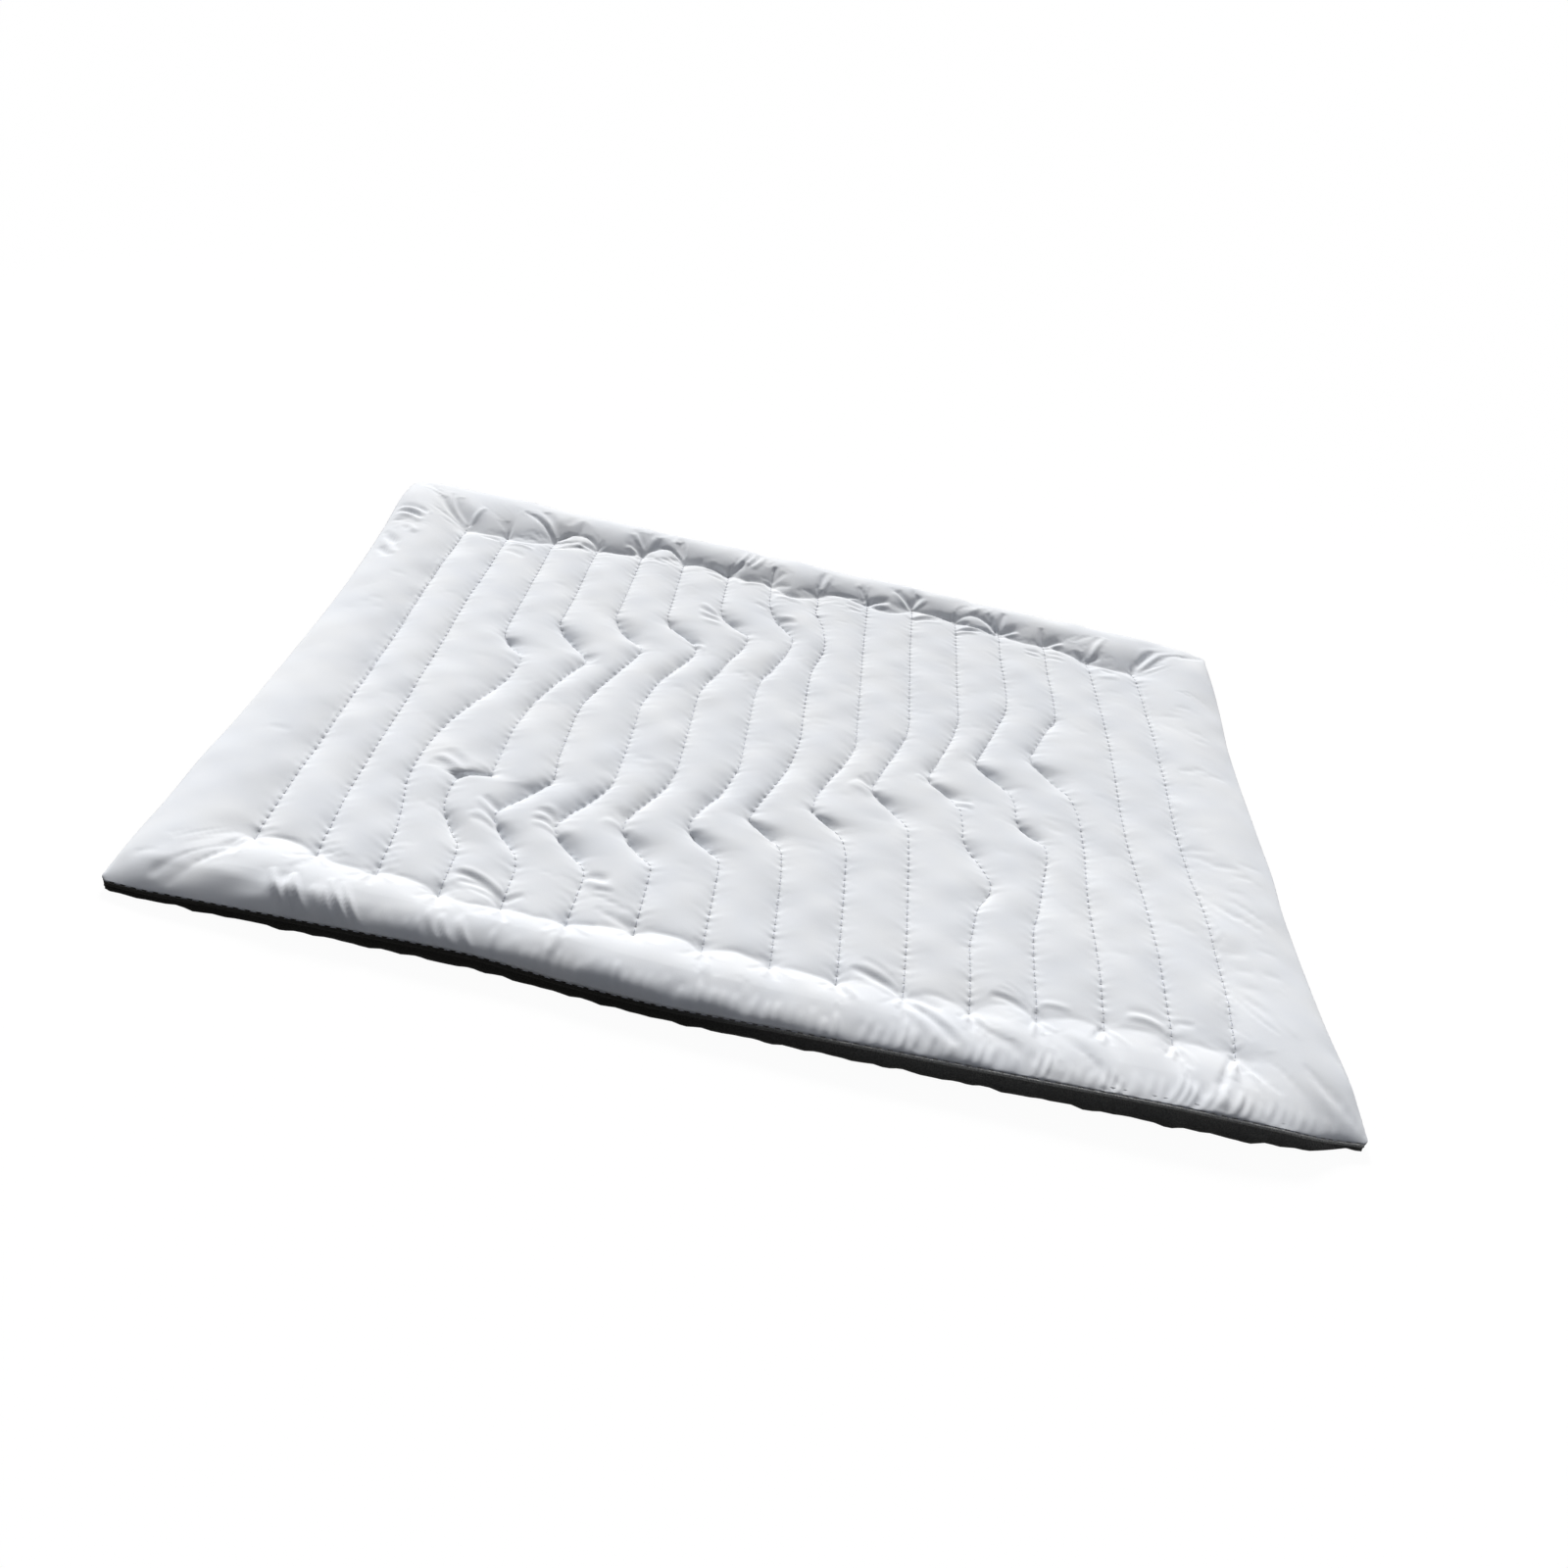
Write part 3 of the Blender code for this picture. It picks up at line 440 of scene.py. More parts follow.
def net_plan(edge, steps):
    """Plan of a net: x, y and channel coordinate of every point, as three arrays (row, column).

    edge lists distances in from the seam. The channel coordinate is -1 on the left seam, 0 on the first line,
    1 on the second line and so on to the right seam. Between two lines a point keeps its share of the way.
    """
    left_steps, channel_steps, right_steps, middle_rows = steps
    reach = edge[-1]
    zones = np.concatenate([[0], np.cumsum(middle_rows)])
    middle = np.interp(np.arange(1, zones[-1]), zones, (reach, FRONT_ZONE, BACK_ZONE, DEPTH - reach))
    rows = np.concatenate([edge, middle, DEPTH - edge[::-1]])
    lines = np.stack([line_x(k, rows) for k in range(LINE_COUNT)], axis=1)
    u = np.arange(channel_steps) / channel_steps
    eased = u - LINE_EASE / (2 * np.pi) * np.sin(2 * np.pi * u)
    s = (np.arange(LINE_COUNT - 1)[:, None] + eased).ravel()
    k = s.astype(int)
    field = lines[:, k] * (1 - s + k) + lines[:, k + 1] * (s - k)
    left, right = left_seam(rows)[:, None], right_seam(rows)[:, None]
    on_left = np.arange(1, left_steps) / left_steps
    on_right = np.arange(1, right_steps) / right_steps
    first, last = lines[:, :1], lines[:, -1:]
    x = np.concatenate([
        left + edge,
        left + reach + on_left * (first - left - reach),
        field,
        last,
        last + on_right * (right - reach - last),
        right - edge[::-1],
    ], axis=1)
    edge_steps = len(edge) - 1
    channel = np.concatenate([
        np.linspace(-1, 0, edge_steps + left_steps + 1)[:-1],
        s,
        np.linspace(LINE_COUNT - 1, LINE_COUNT, edge_steps + right_steps + 1),
    ])
    y = rows[:, None] + front_seam(x) * (1 - smooth((rows[:, None] - EDGE_ROLL) / BOW_FADE))
    return x, y, np.broadcast_to(channel, x.shape)


def seam_distances(x, y):
    """Distance in from the left, right, front and back seams."""
    return x - left_seam(y), right_seam(y) - x, y - front_seam(x), DEPTH - y


def along_edges(x, y, left, right, front, back):
    """Four heights given along the edges, blended in between by the inverse square of the distances."""
    heights = (curve(left, y), curve(right, y), curve(front, x), curve(back, x))
    weights = [1 / (np.maximum(d, 0) + EDGE_BLEND) ** 2 for d in seam_distances(x, y)]
    return sum(w * h for w, h in zip(weights, heights)) / sum(weights)


def seam_height(x, y):
    """Height of the edge seam above the floor, blended inwards from all four edges."""
    return along_edges(x, y, SIDE_SEAM, SIDE_SEAM, FRONT_SEAM, BACK_SEAM)


def rolled_edge(x, y):
    """Share of the full height: a quarter of a superellipse up from each seam, all four multiplied together.

    Its exponent is 2, an ellipse, apart from the front, where a lower one makes a straighter slope.
    """
    share = 1.0
    rolls = (EDGE_ROLL, EDGE_ROLL, curve(FRONT_ROLL, x), BACK_ROLL)
    for d, roll, power in zip(seam_distances(x, y), rolls, (2, 2, curve(FRONT_ROUND, x), 2)):
        share = share * np.maximum(1 - (1 - np.clip(d / roll, 0, 1)) ** power, 0) ** (1 / power)
    return share


def behind_ends(x, y, channel, ends, arcs, beside_left, beside_right):
    """Distance behind the crease that joins the lines' ends, and the crease's depth share there.

    Between two ends the crease is a straight line plus a parabola. Beside the field it fades out over its outer
    half by a smooth step.
    """
    arch, depth = np.array(arcs, float).T
    k = np.clip(channel.astype(int), 0, LINE_COUNT - 2)
    t = np.clip(channel - k, 0, 1)
    crease = ends[k] * (1 - t) + ends[k + 1] * t + arch[k] * 4 * t * (1 - t)
    share = np.interp(channel, np.arange(LINE_COUNT - 1) + 0.5, depth)
    left, right = channel < 0, channel > LINE_COUNT - 1
    crease = np.where(left, curve(beside_left, x), np.where(right, curve(beside_right, x), crease))
    fade_left = smooth((x - beside_left[0][0]) / (beside_left[-1][0] - beside_left[0][0]) * 2)
    fade_right = smooth((beside_right[-1][0] - x) / (beside_right[-1][0] - beside_right[0][0]) * 2)
    share = share * np.where(left, fade_left, np.where(right, fade_right, 1))
    return y - crease, share


def front_crease(x, y, channel):
    """Distance behind the crease at the lines' front ends, and its depth share."""
    return behind_ends(x, y, channel, FRONT_ENDS, FRONT_ARCS, FRONT_LEFT_CREASE, FRONT_RIGHT_CREASE)


def back_crease(x, y, channel):
    """Distance behind the crease at the lines' back ends, and its depth share."""
    return behind_ends(x, y, channel, BACK_ENDS, BACK_ARCS, BACK_LEFT_CREASE, BACK_RIGHT_CREASE)


def line_slant(number, y):
    """Sine of the angle by which a line leans to the right as it runs back."""
    step = line_x(number, y + SLANT_REACH) - line_x(number, y - SLANT_REACH)
    return step / np.hypot(step, 2 * SLANT_REACH)


def window_mean(values, first, last):
    """Running mean of the values from first to last places after each."""
    total = np.concatenate([[0], np.cumsum(values)])
    place = np.arange(len(values))
    low = np.clip(place + first, 0, len(values))
    high = np.clip(place + last + 1, 0, len(values))
    return (total[high] - total[low]) / (last - first + 1)


def line_turns(number, y):
    """How strongly a line jogs to the left and leans to the right near depth y, each from 0 to 1.

    Both are running means of a smooth step of its slant. The mean of a jog reaches further back than forward,
    so that its pocket opens gently from its back corner.
    """
    at = np.arange(-SLANT_MARGIN, DEPTH + SLANT_MARGIN + 1.0)
    slant = line_slant(number, at)
    jog = smooth(-SLANT_GAIN * slant)
    jog = window_mean(jog, *JOG_WINDOWS[0]) * window_mean(jog, *JOG_WINDOWS[1])
    hook = smooth((slant - HOOK_SLANT) / (1 - HOOK_SLANT))
    lean = window_mean(smooth(SLANT_GAIN * slant), *LEAN_WINDOW) + HOOK_DRAW * window_mean(hook, *HOOK_WINDOW)
    return np.interp(y, at, jog), np.interp(y, at, lean)


def past_ends(number, y):
    """How far y lies beyond the nearer end of a line, or 0 between its ends."""
    return np.maximum(np.maximum(FRONT_ENDS[number] - y, y - BACK_ENDS[number]), 0)


def line_profile(number, x, y, channel, jog, lean):
    """How far a quilting line draws the cloth down, from 0 on a crown to 1 on the line.

    Across a channel it is a power of the distance from its middle. The power falls behind a slanting line and
    grows in front of it, so the cloth comes down to it gently and turns up again at once. Past a line's end it
    fades as a bell curve.
    """
    past = past_ends(number, y)
    right = channel > number
    reach = np.abs(channel - number) * 2
    soft = GROOVE_ROUND * (1 - np.minimum(jog + lean, 1))
    if number == 0:
        reach = np.where(right, reach, (line_x(0, y) - x) / BORDER_SLOPE)
    if number == LINE_COUNT - 1:
        reach = np.where(right, (x - line_x(number, y)) / BORDER_SLOPE, reach)
    lean = np.minimum(lean, 1)
    behind, before = np.where(right, jog, lean), np.where(right, lean, jog)
    power = CREASE_POWER * np.exp(CREASE_SHARPER * before - CREASE_BROADER * behind) + END_SHARPER * past
    reach = np.hypot(reach, soft) - soft
    return np.clip(1 - reach, 0, 1) ** power * np.exp(-(past / END_FADE) ** 2)


def line_dip(x, y, channel):
    """The even crease of all lines, from 0 on a crown to 1 on a line."""
    dip = np.zeros_like(x)
    for k in range(LINE_COUNT):
        dip = np.maximum(dip, line_profile(k, x, y, channel, 0.0, 0.0))
    return dip


def line_draw(x, y, channel):
    """How far the lines draw the cloth down, in millimetres, and their creases' share of it."""
    total, dip = np.zeros_like(x), np.zeros_like(x)
    for k in range(LINE_COUNT):
        jog, lean = line_turns(k, y)
        from_end = np.minimum(y - FRONT_ENDS[k], BACK_ENDS[k] - y)
        draw = curve(LINE_DRAW, float(k)) + LEAN_DRAW * lean + JOG_DRAW * jog
        draw = draw + END_DRAW * (1 - smooth(from_end / END_REACH))
        profile = line_profile(k, x, y, channel, jog, lean)
        total += draw * profile
        dip = np.maximum(dip, profile)
    return total, dip


def top_heights(x, y, channel):
    """Height of the top: a crown, drawn down along the lines and creases, and rolled down to the seam.

    The crown is the field's, and rises to the border's from the lines' ends and the outer lines outwards: evenly,
    and rounded off as (4 t - t^4) / 3. Between two lines it domes as a parabola. The crease along the lines' ends
    is the exponential of the distance from it, narrower on the field's side at the front and at the back.
    """
    front, front_share = front_crease(x, y, channel)
    back, back_share = back_crease(x, y, channel)
    border = along_edges(x, y, LEFT_CROWN, RIGHT_CROWN, FRONT_CROWN, BACK_CROWN)
    beside = np.maximum(line_x(0, y) - x, x - line_x(LINE_COUNT - 1, y)) / BORDER_SLOPE
    t = np.clip(np.maximum(np.maximum(-front / FRONT_RISE, back / BACK_RISE), beside), 0, 1)
    rise = t * (4 - t ** 3) / 3
    field = FIELD_HEIGHT + curve(FRONT_SWELL, x) * smooth((SWELL_REACH - y) / SWELL_LENGTH)
    crown = field + (border - field) * rise
    u = channel % 1
    crown = crown - BILLOW * (1 - 4 * u * (1 - u)) * (1 - rise) * (beside <= 0)
    reach = curve(FRONT_CREASE, x)
    ahead = np.maximum(CREASE_AHEAD, reach * smooth((x - BROAD_CREASE) / BROAD_CREASE_EASE))
    crease = front_share * np.exp(-np.abs(front) / np.where(front > 0, reach, ahead))
    before, behind = BACK_CREASE_REACH
    crease = np.maximum(crease, back_share * np.exp(-np.abs(back) / np.where(back > 0, behind, before)))
    draw, dip = line_draw(x, y, channel)
    z = crown - draw - CREASE_DRAW * crease * (1 - dip)
    seam = seam_height(x, y)
    return seam + (z - seam) * rolled_edge(x, y)


def fold(x, y, row):
    """One fold: on a parabola from end to end, a bell curve across it that is steeper on its right side.

    Its height tapers to nothing at both ends.
    """
    x0, y0, x1, y1, bow, width, height = row
    length = np.hypot(x1 - x0, y1 - y0)
    along_x, along_y = (x1 - x0) / length, (y1 - y0) / length
    t = ((x - x0) * along_x + (y - y0) * along_y) / length
    arch = np.clip(4 * t * (1 - t), 0, 1)
    across = (y - y0) * along_x - (x - x0) * along_y - bow * arch
    return height * np.sqrt(arch) * np.exp(-(across / width * np.where(across < 0, FOLD_CRISP, 1)) ** 2)


def gathers():
    """Folds along the front seam, spaced and sized a little unevenly."""
    chance = np.random.default_rng(7)
    rows = []
    for start, end, step, lean, length, width, height in FRONT_GATHERS:
        for across in np.arange(start, end, step):
            shift, longer, higher = 1 + GATHER_JITTER * chance.uniform(-1, 1, 3)
            foot = across + step * (shift - 1)
            seam = float(front_seam(foot))
            rows.append((foot, seam - GATHER_FOOT, foot + lean * longer, seam + length * longer,
                         -GATHER_BOW_SHARE * lean, width, height * higher))
    return rows


def end_rays():
    """Fine folds that fan out forward from the lines' front ends, grooves and ridges in turn."""
    chance = np.random.default_rng(5)
    rows = []
    for line in LINES:
        x, y = line[0]
        for i in range(RAYS):
            angle = (i - (RAYS - 1) / 2) * RAY_ANGLE + chance.uniform(-RAY_ANGLE_CHANCE, RAY_ANGLE_CHANCE)
            length = chance.uniform(*RAY_LENGTHS)
            path = (x, y + 1, x + length * np.sin(angle), y + 1 - length * np.cos(angle))
            bow, width = chance.uniform(-RAY_BOW, RAY_BOW), chance.uniform(*RAY_WIDTHS)
            height = (RAY_HEIGHT if i % 2 else -RAY_HEIGHT) * chance.uniform(*RAY_HEIGHT_SHARES)
            rows.append((*path, bow, width, height))
    return rows


def folds(x, y):
    """The sum of all placed folds, gathers and end folds."""
    total = np.zeros_like(x)
    for *path, width, height in BACK_FOLDS + LEFT_FOLDS + FRONT_FOLDS + JOG_FOLDS:
        total += fold(x, y, (*path, FOLD_WIDTH * width, height))
    for row in gathers() + end_rays():
        total += fold(x, y, row)
    return FOLD_STRENGTH * total


def along_line(number, y):
    """Length along a quilting line from its front end to depth y, and the pitch of its stitches."""
    front, back = FRONT_ENDS[number], BACK_ENDS[number]
    steps = np.linspace(front, back, int(back - front) * 2)
    length = np.concatenate([[0], np.cumsum(np.hypot(np.diff(line_x(number, steps)), np.diff(steps)))])
    pitch = length[-1] / int(length[-1] / STITCH_PITCH)
    return np.interp(y, steps, length), pitch


def beside_line(number, x, y):
    """Distance from a quilting line, also past its ends, the length along it and its stitch pitch."""
    length, pitch = along_line(number, y)
    away = np.abs(x - line_x(number, y)) * np.sqrt(1 - line_slant(number, y) ** 2)
    return np.hypot(away, past_ends(number, y)), length, pitch


def line_puckers(x, y):
    """Small puckers on both sides of every line, like a herringbone, and a dimple at every needle hole.

    A pucker's height is a mean of three sines of the length along the line, which lag with the distance from
    the line, and it fades with that distance. The puckers grow where the line turns and at its ends.
    """
    chance = np.random.default_rng(11)
    plain, by_turn, by_slant, by_end = PUCKER_SHARES
    total = np.zeros_like(x)
    for k in range(LINE_COUNT):
        away, length, pitch = beside_line(k, x, y)
        turn = np.abs(line_slant(k, y + PUCKER_TURN) - line_slant(k, y - PUCKER_TURN))
        from_end = np.minimum(np.abs(y - FRONT_ENDS[k]), np.abs(y - BACK_ENDS[k]))
        strength = plain + by_turn * turn + by_slant * np.abs(line_slant(k, y))
        strength = strength + by_end * np.exp(-from_end / PUCKER_END_REACH)
        waves = sum(
            np.sin(2 * np.pi * ((length - PUCKER_LEAN * away) / wave + phase))
            for wave, phase in zip(PUCKER_WAVES, chance.uniform(0, 1, 3))
        ) / 3
        total += PUCKER_HEIGHT * strength * waves * np.exp(-away / PUCKER_REACH)
        total -= STITCH_PUCKER * np.cos(2 * np.pi * length / pitch) * np.exp(-away / STITCH_PUCKER_REACH)
        to_hole = (length / pitch + 0.5) % 1 - 0.5
        total -= HOLE_DEPTH * np.exp(-(to_hole * pitch / HOLE_RADIUS) ** 2 - (away / HOLE_RADIUS) ** 2)
    return total


def stitch_coordinates(x, y):
    """Distance from the nearest quilting line, up to a limit, and the length along that line in stitches."""
    nearest, stitch = np.full_like(x, np.inf), np.zeros_like(x)
    for k in range(LINE_COUNT):
        away, length, pitch = beside_line(k, x, y)
        stitch = np.where(away < nearest, length / pitch, stitch)
        nearest = np.minimum(away, nearest)
    return np.minimum(nearest, STITCH_REACH), stitch


def drape(x, y):
    """Slow, shallow waves in the cloth: a sum of plane sine waves in seeded directions."""
    chance = np.random.default_rng(3)
    total = np.zeros_like(x)
    for _ in range(DRAPE_WAVES):
        wave, angle, phase = chance.uniform(*DRAPE_LENGTHS), chance.normal(*DRAPE_TURN), chance.uniform(0, 1)
        total += np.sin(2 * np.pi * ((x * np.cos(angle) + y * np.sin(angle)) / wave + phase))
    return DRAPE_HEIGHT * total / DRAPE_SUM


def round_corners(x, y):
    """The plan with its four corners rounded: each corner square is mapped onto a quarter disc."""
    middle_x, middle_y = WIDTH / 2, DEPTH / 2
    left, right, front, back = seam_distances(x, y)
    side = np.where(x < middle_x, left, right)
    end = np.where(y < middle_y, front, back)
    radius = np.choose((x >= middle_x) + 2 * (y >= middle_y), CORNER_ROUND)
    u = np.clip(1 - side / radius, 0, None)
    v = np.clip(1 - end / radius, 0, None)
    near = (u > 0) & (v > 0)
    pull_x = np.where(near, u * (1 - np.sqrt(np.maximum(1 - v * v / 2, 0))), 0) * radius
    pull_y = np.where(near, v * (1 - np.sqrt(np.maximum(1 - u * u / 2, 0))), 0) * radius
    return x + np.where(x < middle_x, pull_x, -pull_x), y + np.where(y < middle_y, pull_y, -pull_y)


def placed(x, y, z):
    """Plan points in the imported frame, in metres."""
    x, y = round_corners(x, y)
    return (np.stack([x, y, z], axis=-1) + CORNER) * MM


def lowest_near(z, reach):
    """The lowest height within reach steps of each point, along rows and then along columns."""
    for axis in (0, 1):
        pad = [(0, 0), (0, 0)]
        pad[axis] = (reach, reach)
        windows = np.lib.stride_tricks.sliding_window_view(np.pad(z, pad, mode="edge"), 2 * reach + 1, axis=axis)
        z = windows.min(axis=-1)
    return z


def quads(rows, columns, start=0):
    """The quads of a net of points, counter-clockwise seen from above."""
    index = start + np.arange(rows * columns).reshape(rows, columns)
    return np.stack([index[:-1, :-1], index[:-1, 1:], index[1:, 1:], index[1:, :-1]], axis=2).reshape(-1, 4)


def ring(rows, columns, start=0):
    """The outer ring of a net, counter-clockwise seen from above."""
    index = start + np.arange(rows * columns).reshape(rows, columns)
    return np.concatenate([index[0, :-1], index[:-1, -1], index[-1, :0:-1], index[:0:-1, 0]])


def rim(fine, coarse):
    """Triangles that join a fine ring to a coarse one below it, four fine edges to each coarse edge."""
    after = np.roll(coarse, -1)
    step = [np.roll(fine, -i)[::COARSE] for i in range(COARSE + 1)]
    triangles = [
        (coarse, step[1], step[0]), (coarse, step[2], step[1]), (coarse, after, step[2]),
        (after, step[3], step[2]), (after, step[4], step[3]),
    ]
    return np.concatenate([np.stack(t, axis=1) for t in triangles])


def add_mesh(name, points, polygons):
    """A mesh object from points in metres and a list of polygon arrays, shaded smooth."""
    mesh = bpy.data.meshes.new(name)
    sizes = np.concatenate([np.full(len(p), p.shape[1]) for p in polygons])
    corners = np.concatenate([p.ravel() for p in polygons])
    mesh.vertices.add(len(points))
    mesh.vertices.foreach_set("co", points.astype(np.float32).ravel())
    mesh.loops.add(len(corners))
    mesh.loops.foreach_set("vertex_index", corners.astype(np.int32))
    mesh.polygons.add(len(sizes))
    mesh.polygons.foreach_set("loop_start", np.concatenate([[0], np.cumsum(sizes)[:-1]]).astype(np.int32))
    mesh.update(calc_edges=True)
    mesh.shade_smooth()
    made = bpy.data.objects.new(name, mesh)
    bpy.context.scene.collection.objects.link(made)
    return made


def add_uv(made, name, u, v):
    """A UV map from one pair of coordinates per vertex."""
    mesh = made.data
    corner = np.empty(len(mesh.loops), np.int32)
    mesh.loops.foreach_get("vertex_index", corner)
    layer = mesh.uv_layers.new(name=name)
    layer.data.foreach_set("uv", np.stack([u[corner], v[corner]], axis=1).astype(np.float32).ravel())


def shell(name, outer, inner, flip):
    """A closed sheet between a fine outer skin and a coarse inner one. With flip the outer one is below."""
    rows, columns = outer.shape[:2]
    low_rows, low_columns = inner.shape[:2]
    start = rows * columns
    above, below = quads(rows, columns), quads(low_rows, low_columns, start)
    edge = rim(ring(rows, columns), ring(low_rows, low_columns, start))
    if flip:
        above, edge = above[:, ::-1], edge[:, ::-1]
    else:
        below = below[:, ::-1]
    points = np.concatenate([outer.reshape(-1, 3), inner.reshape(-1, 3)])
    return add_mesh(name, points, [above, below, edge])


# Cloths and thread. A noise is given as (scale per metre, detail), and two shades as (dark, light).
CLOUD_RANGE = (0.3, 0.7)  # part of the noise that a mottled colour spreads over
CLOTH_CLOUDS = (28.0, 3.0)
CLOTH_SHADES = ((0.8, 0.825, 0.865), (0.85, 0.865, 0.885))
# Colour of the painted shade in the needle holes and along the lines' grooves
PAINTED_SHADE_COLOUR = (0.1, 0.11, 0.14)
HOLE_CORE = 0.4  # share of a needle hole's painted shade spot that is fully dark
GROOVE_EDGE = (0.3, 2.2)  # distances from a line where the painted shade of its groove begins to fade and ends
KNIT_STRETCH = (1.0, 0.35, 1.0)
KNIT = (1800.0, 2.0)
KNIT_DEPTH = 0.1
PUCKER_EDGE = (0.4, 3.0)  # distances from a line where the puckers between its stitches begin to fade and end
PUCKER_DEPTH = 0.25
CLOTH_RELIEF = (0.0006, 0.6)  # depth in metres, and strength
FIBRE_STRETCH = (1.0, 0.25, 1.0)
FIBRES = (1500.0, 6.0)
FIBRE_SHADES = ((0.72, 0.72, 0.7), (0.88, 0.88, 0.87))
FIBRE_RELIEF = 0.0006
TWIST = (900.0, 1.0, 1.0)  # scale per metre of its bands, their distortion and detail
THREAD_SHADES = ((0.5, 0.53, 0.6), (0.68, 0.7, 0.76))
THREAD_RELIEF = 0.0001
SUEDE_CLOUDS = (900.0, 4.0)
SUEDE_SHADES = ((0.004, 0.004, 0.0035), (0.022, 0.021, 0.019))
# Painted highlight on the suede's lip and upper wall: its noise and its two grey shades
HIGHLIGHT_CLOUDS = (1200.0, 4.0)
HIGHLIGHT_SHADES = ((0.28, 0.28, 0.27), (0.6, 0.6, 0.58))
SUEDE_NAP = (1300.0, 4.0)
SUEDE_RELIEF = 0.0008


def feed(tree, socket, value):
    """Sets an input to a plain value or links it to the socket that feeds it. None leaves it as it is."""
    if isinstance(value, bpy.types.NodeSocket):
        tree.links.new(value, socket)
    elif value is not None:
        socket.default_value = value


def add_node(tree, kind, values=(), **settings):
    """The first output of a new node whose inputs are fed in order."""
    made = tree.nodes.new(kind)
    for name, value in settings.items():
        setattr(made, name, value)
    for socket, value in zip(made.inputs, values):
        feed(tree, socket, value)
    return made.outputs[0]


def math_of(tree, operation, first, second=0.0):
    """The outcome of one sum with two values."""
    return add_node(tree, "ShaderNodeMath", (first, second), operation=operation)


def fading(tree, value, edge, depth=1.0, **settings):
    """Depth up to the first distance of the edge, and nothing from the second on."""
    return add_node(tree, "ShaderNodeMapRange", (value, *edge, depth, 0.0), **settings)


def blended(tree, share, first, second):
    """A colour that goes from first to second as share goes from 0 to 1."""
    mix = tree.nodes.new("ShaderNodeMix")
    mix.data_type = "RGBA"
    for name, value in (("Factor", share), ("A", first), ("B", second)):
        feed(tree, mix.inputs[name], value)
    return mix.outputs["Result"]


def mottled(tree, place, noise, shades):
    """Colour that drifts between two shades by cloudy noise."""
    cloud = add_node(tree, "ShaderNodeTexNoise", (place, None, *noise))
    spread = add_node(tree, "ShaderNodeMapRange", (cloud, *CLOUD_RANGE, 0.0, 1.0))
    dark, light = shades
    return blended(tree, spread, (*dark, 1), (*light, 1))


def new_surface(name):
    """A new material, its tree and its shader."""
    made = bpy.data.materials.new(name)
    made.use_nodes = True
    tree = made.node_tree
    return made, tree, tree.nodes["Principled BSDF"]


def object_place(tree):
    """The place of each point in metres."""
    return tree.nodes.new("ShaderNodeTexCoord").outputs["Object"]


def finish_surface(tree, shader, colour, relief, depth, strength, roughness, specular=0.5):
    """Feeds a surface's colour and bumps, and sets its roughness and the strength of its reflection."""
    feed(tree, shader.inputs["Base Color"], colour)
    feed(tree, shader.inputs["Normal"], add_node(tree, "ShaderNodeBump", (strength, depth, None, relief)))
    shader.inputs["Roughness"].default_value = roughness
    shader.inputs["Specular IOR Level"].default_value = specular


def cooling_cloth():
    """Smooth, faintly silky pale knit, with painted shade in the needle holes and along the quilting lines.

    The UV map holds the distance from the nearest line and the length along it in stitches. A needle hole lies
    at every whole stitch.
    """
    made, tree, shader = new_surface("cooling_cloth")
    place = object_place(tree)
    shade = mottled(tree, place, CLOTH_CLOUDS, CLOTH_SHADES)
    seam = add_node(tree, "ShaderNodeSeparateXYZ", (add_node(tree, "ShaderNodeUVMap", uv_map="stitching"),)).node
    away = math_of(tree, "MULTIPLY", seam.outputs[0], STITCH_REACH)
    to_hole = math_of(tree, "FRACT", math_of(tree, "ADD", seam.outputs[1], 0.5))
    to_hole = math_of(tree, "MULTIPLY", math_of(tree, "SUBTRACT", to_hole, 0.5), STITCH_PITCH)
    squares = math_of(tree, "MULTIPLY", away, away), math_of(tree, "MULTIPLY", to_hole, to_hole)
    spot = math_of(tree, "SQRT", math_of(tree, "ADD", *squares))
    # Painted shade: a dark spot in each needle hole and a faint dark band along each line's groove
    hole = fading(tree, spot, (HOLE_SIZE * HOLE_CORE, HOLE_SIZE), interpolation_type="SMOOTHSTEP")
    groove_shade = fading(tree, away, GROOVE_EDGE, interpolation_type="SMOOTHSTEP")
    painted_shades = math_of(tree, "MULTIPLY", hole, HOLE_SHADE), math_of(tree, "MULTIPLY", groove_shade, GROOVE_SHADE)
    colour = blended(tree, math_of(tree, "MAXIMUM", *painted_shades), shade, (*PAINTED_SHADE_COLOUR, 1))
    scaled = add_node(tree, "ShaderNodeVectorMath", (place, KNIT_STRETCH), operation="MULTIPLY")
    knit = math_of(tree, "MULTIPLY", add_node(tree, "ShaderNodeTexNoise", (scaled, None, *KNIT)), KNIT_DEPTH)
    wave = math_of(tree, "COSINE", math_of(tree, "MULTIPLY", seam.outputs[1], 2 * np.pi))
    pucker = math_of(tree, "MULTIPLY", wave, fading(tree, away, PUCKER_EDGE, -PUCKER_DEPTH))
    relief = math_of(tree, "ADD", knit, math_of(tree, "SUBTRACT", pucker, hole))
    finish_surface(tree, shader, colour, relief, *CLOTH_RELIEF, roughness=0.8, specular=0.2)
    shader.inputs["Sheen Weight"].default_value = 0.2
    return made


def white_wadding():
    """Pale, matted fibres."""
    made, tree, shader = new_surface("white_wadding")
    place = object_place(tree)
    stretched = add_node(tree, "ShaderNodeVectorMath", (place, FIBRE_STRETCH), operation="MULTIPLY")
    shade = mottled(tree, stretched, FIBRES, FIBRE_SHADES)
    relief = add_node(tree, "ShaderNodeTexNoise", (stretched, None, *FIBRES))
    finish_surface(tree, shader, shade, relief, FIBRE_RELIEF, 1.0, roughness=0.95)
    return made


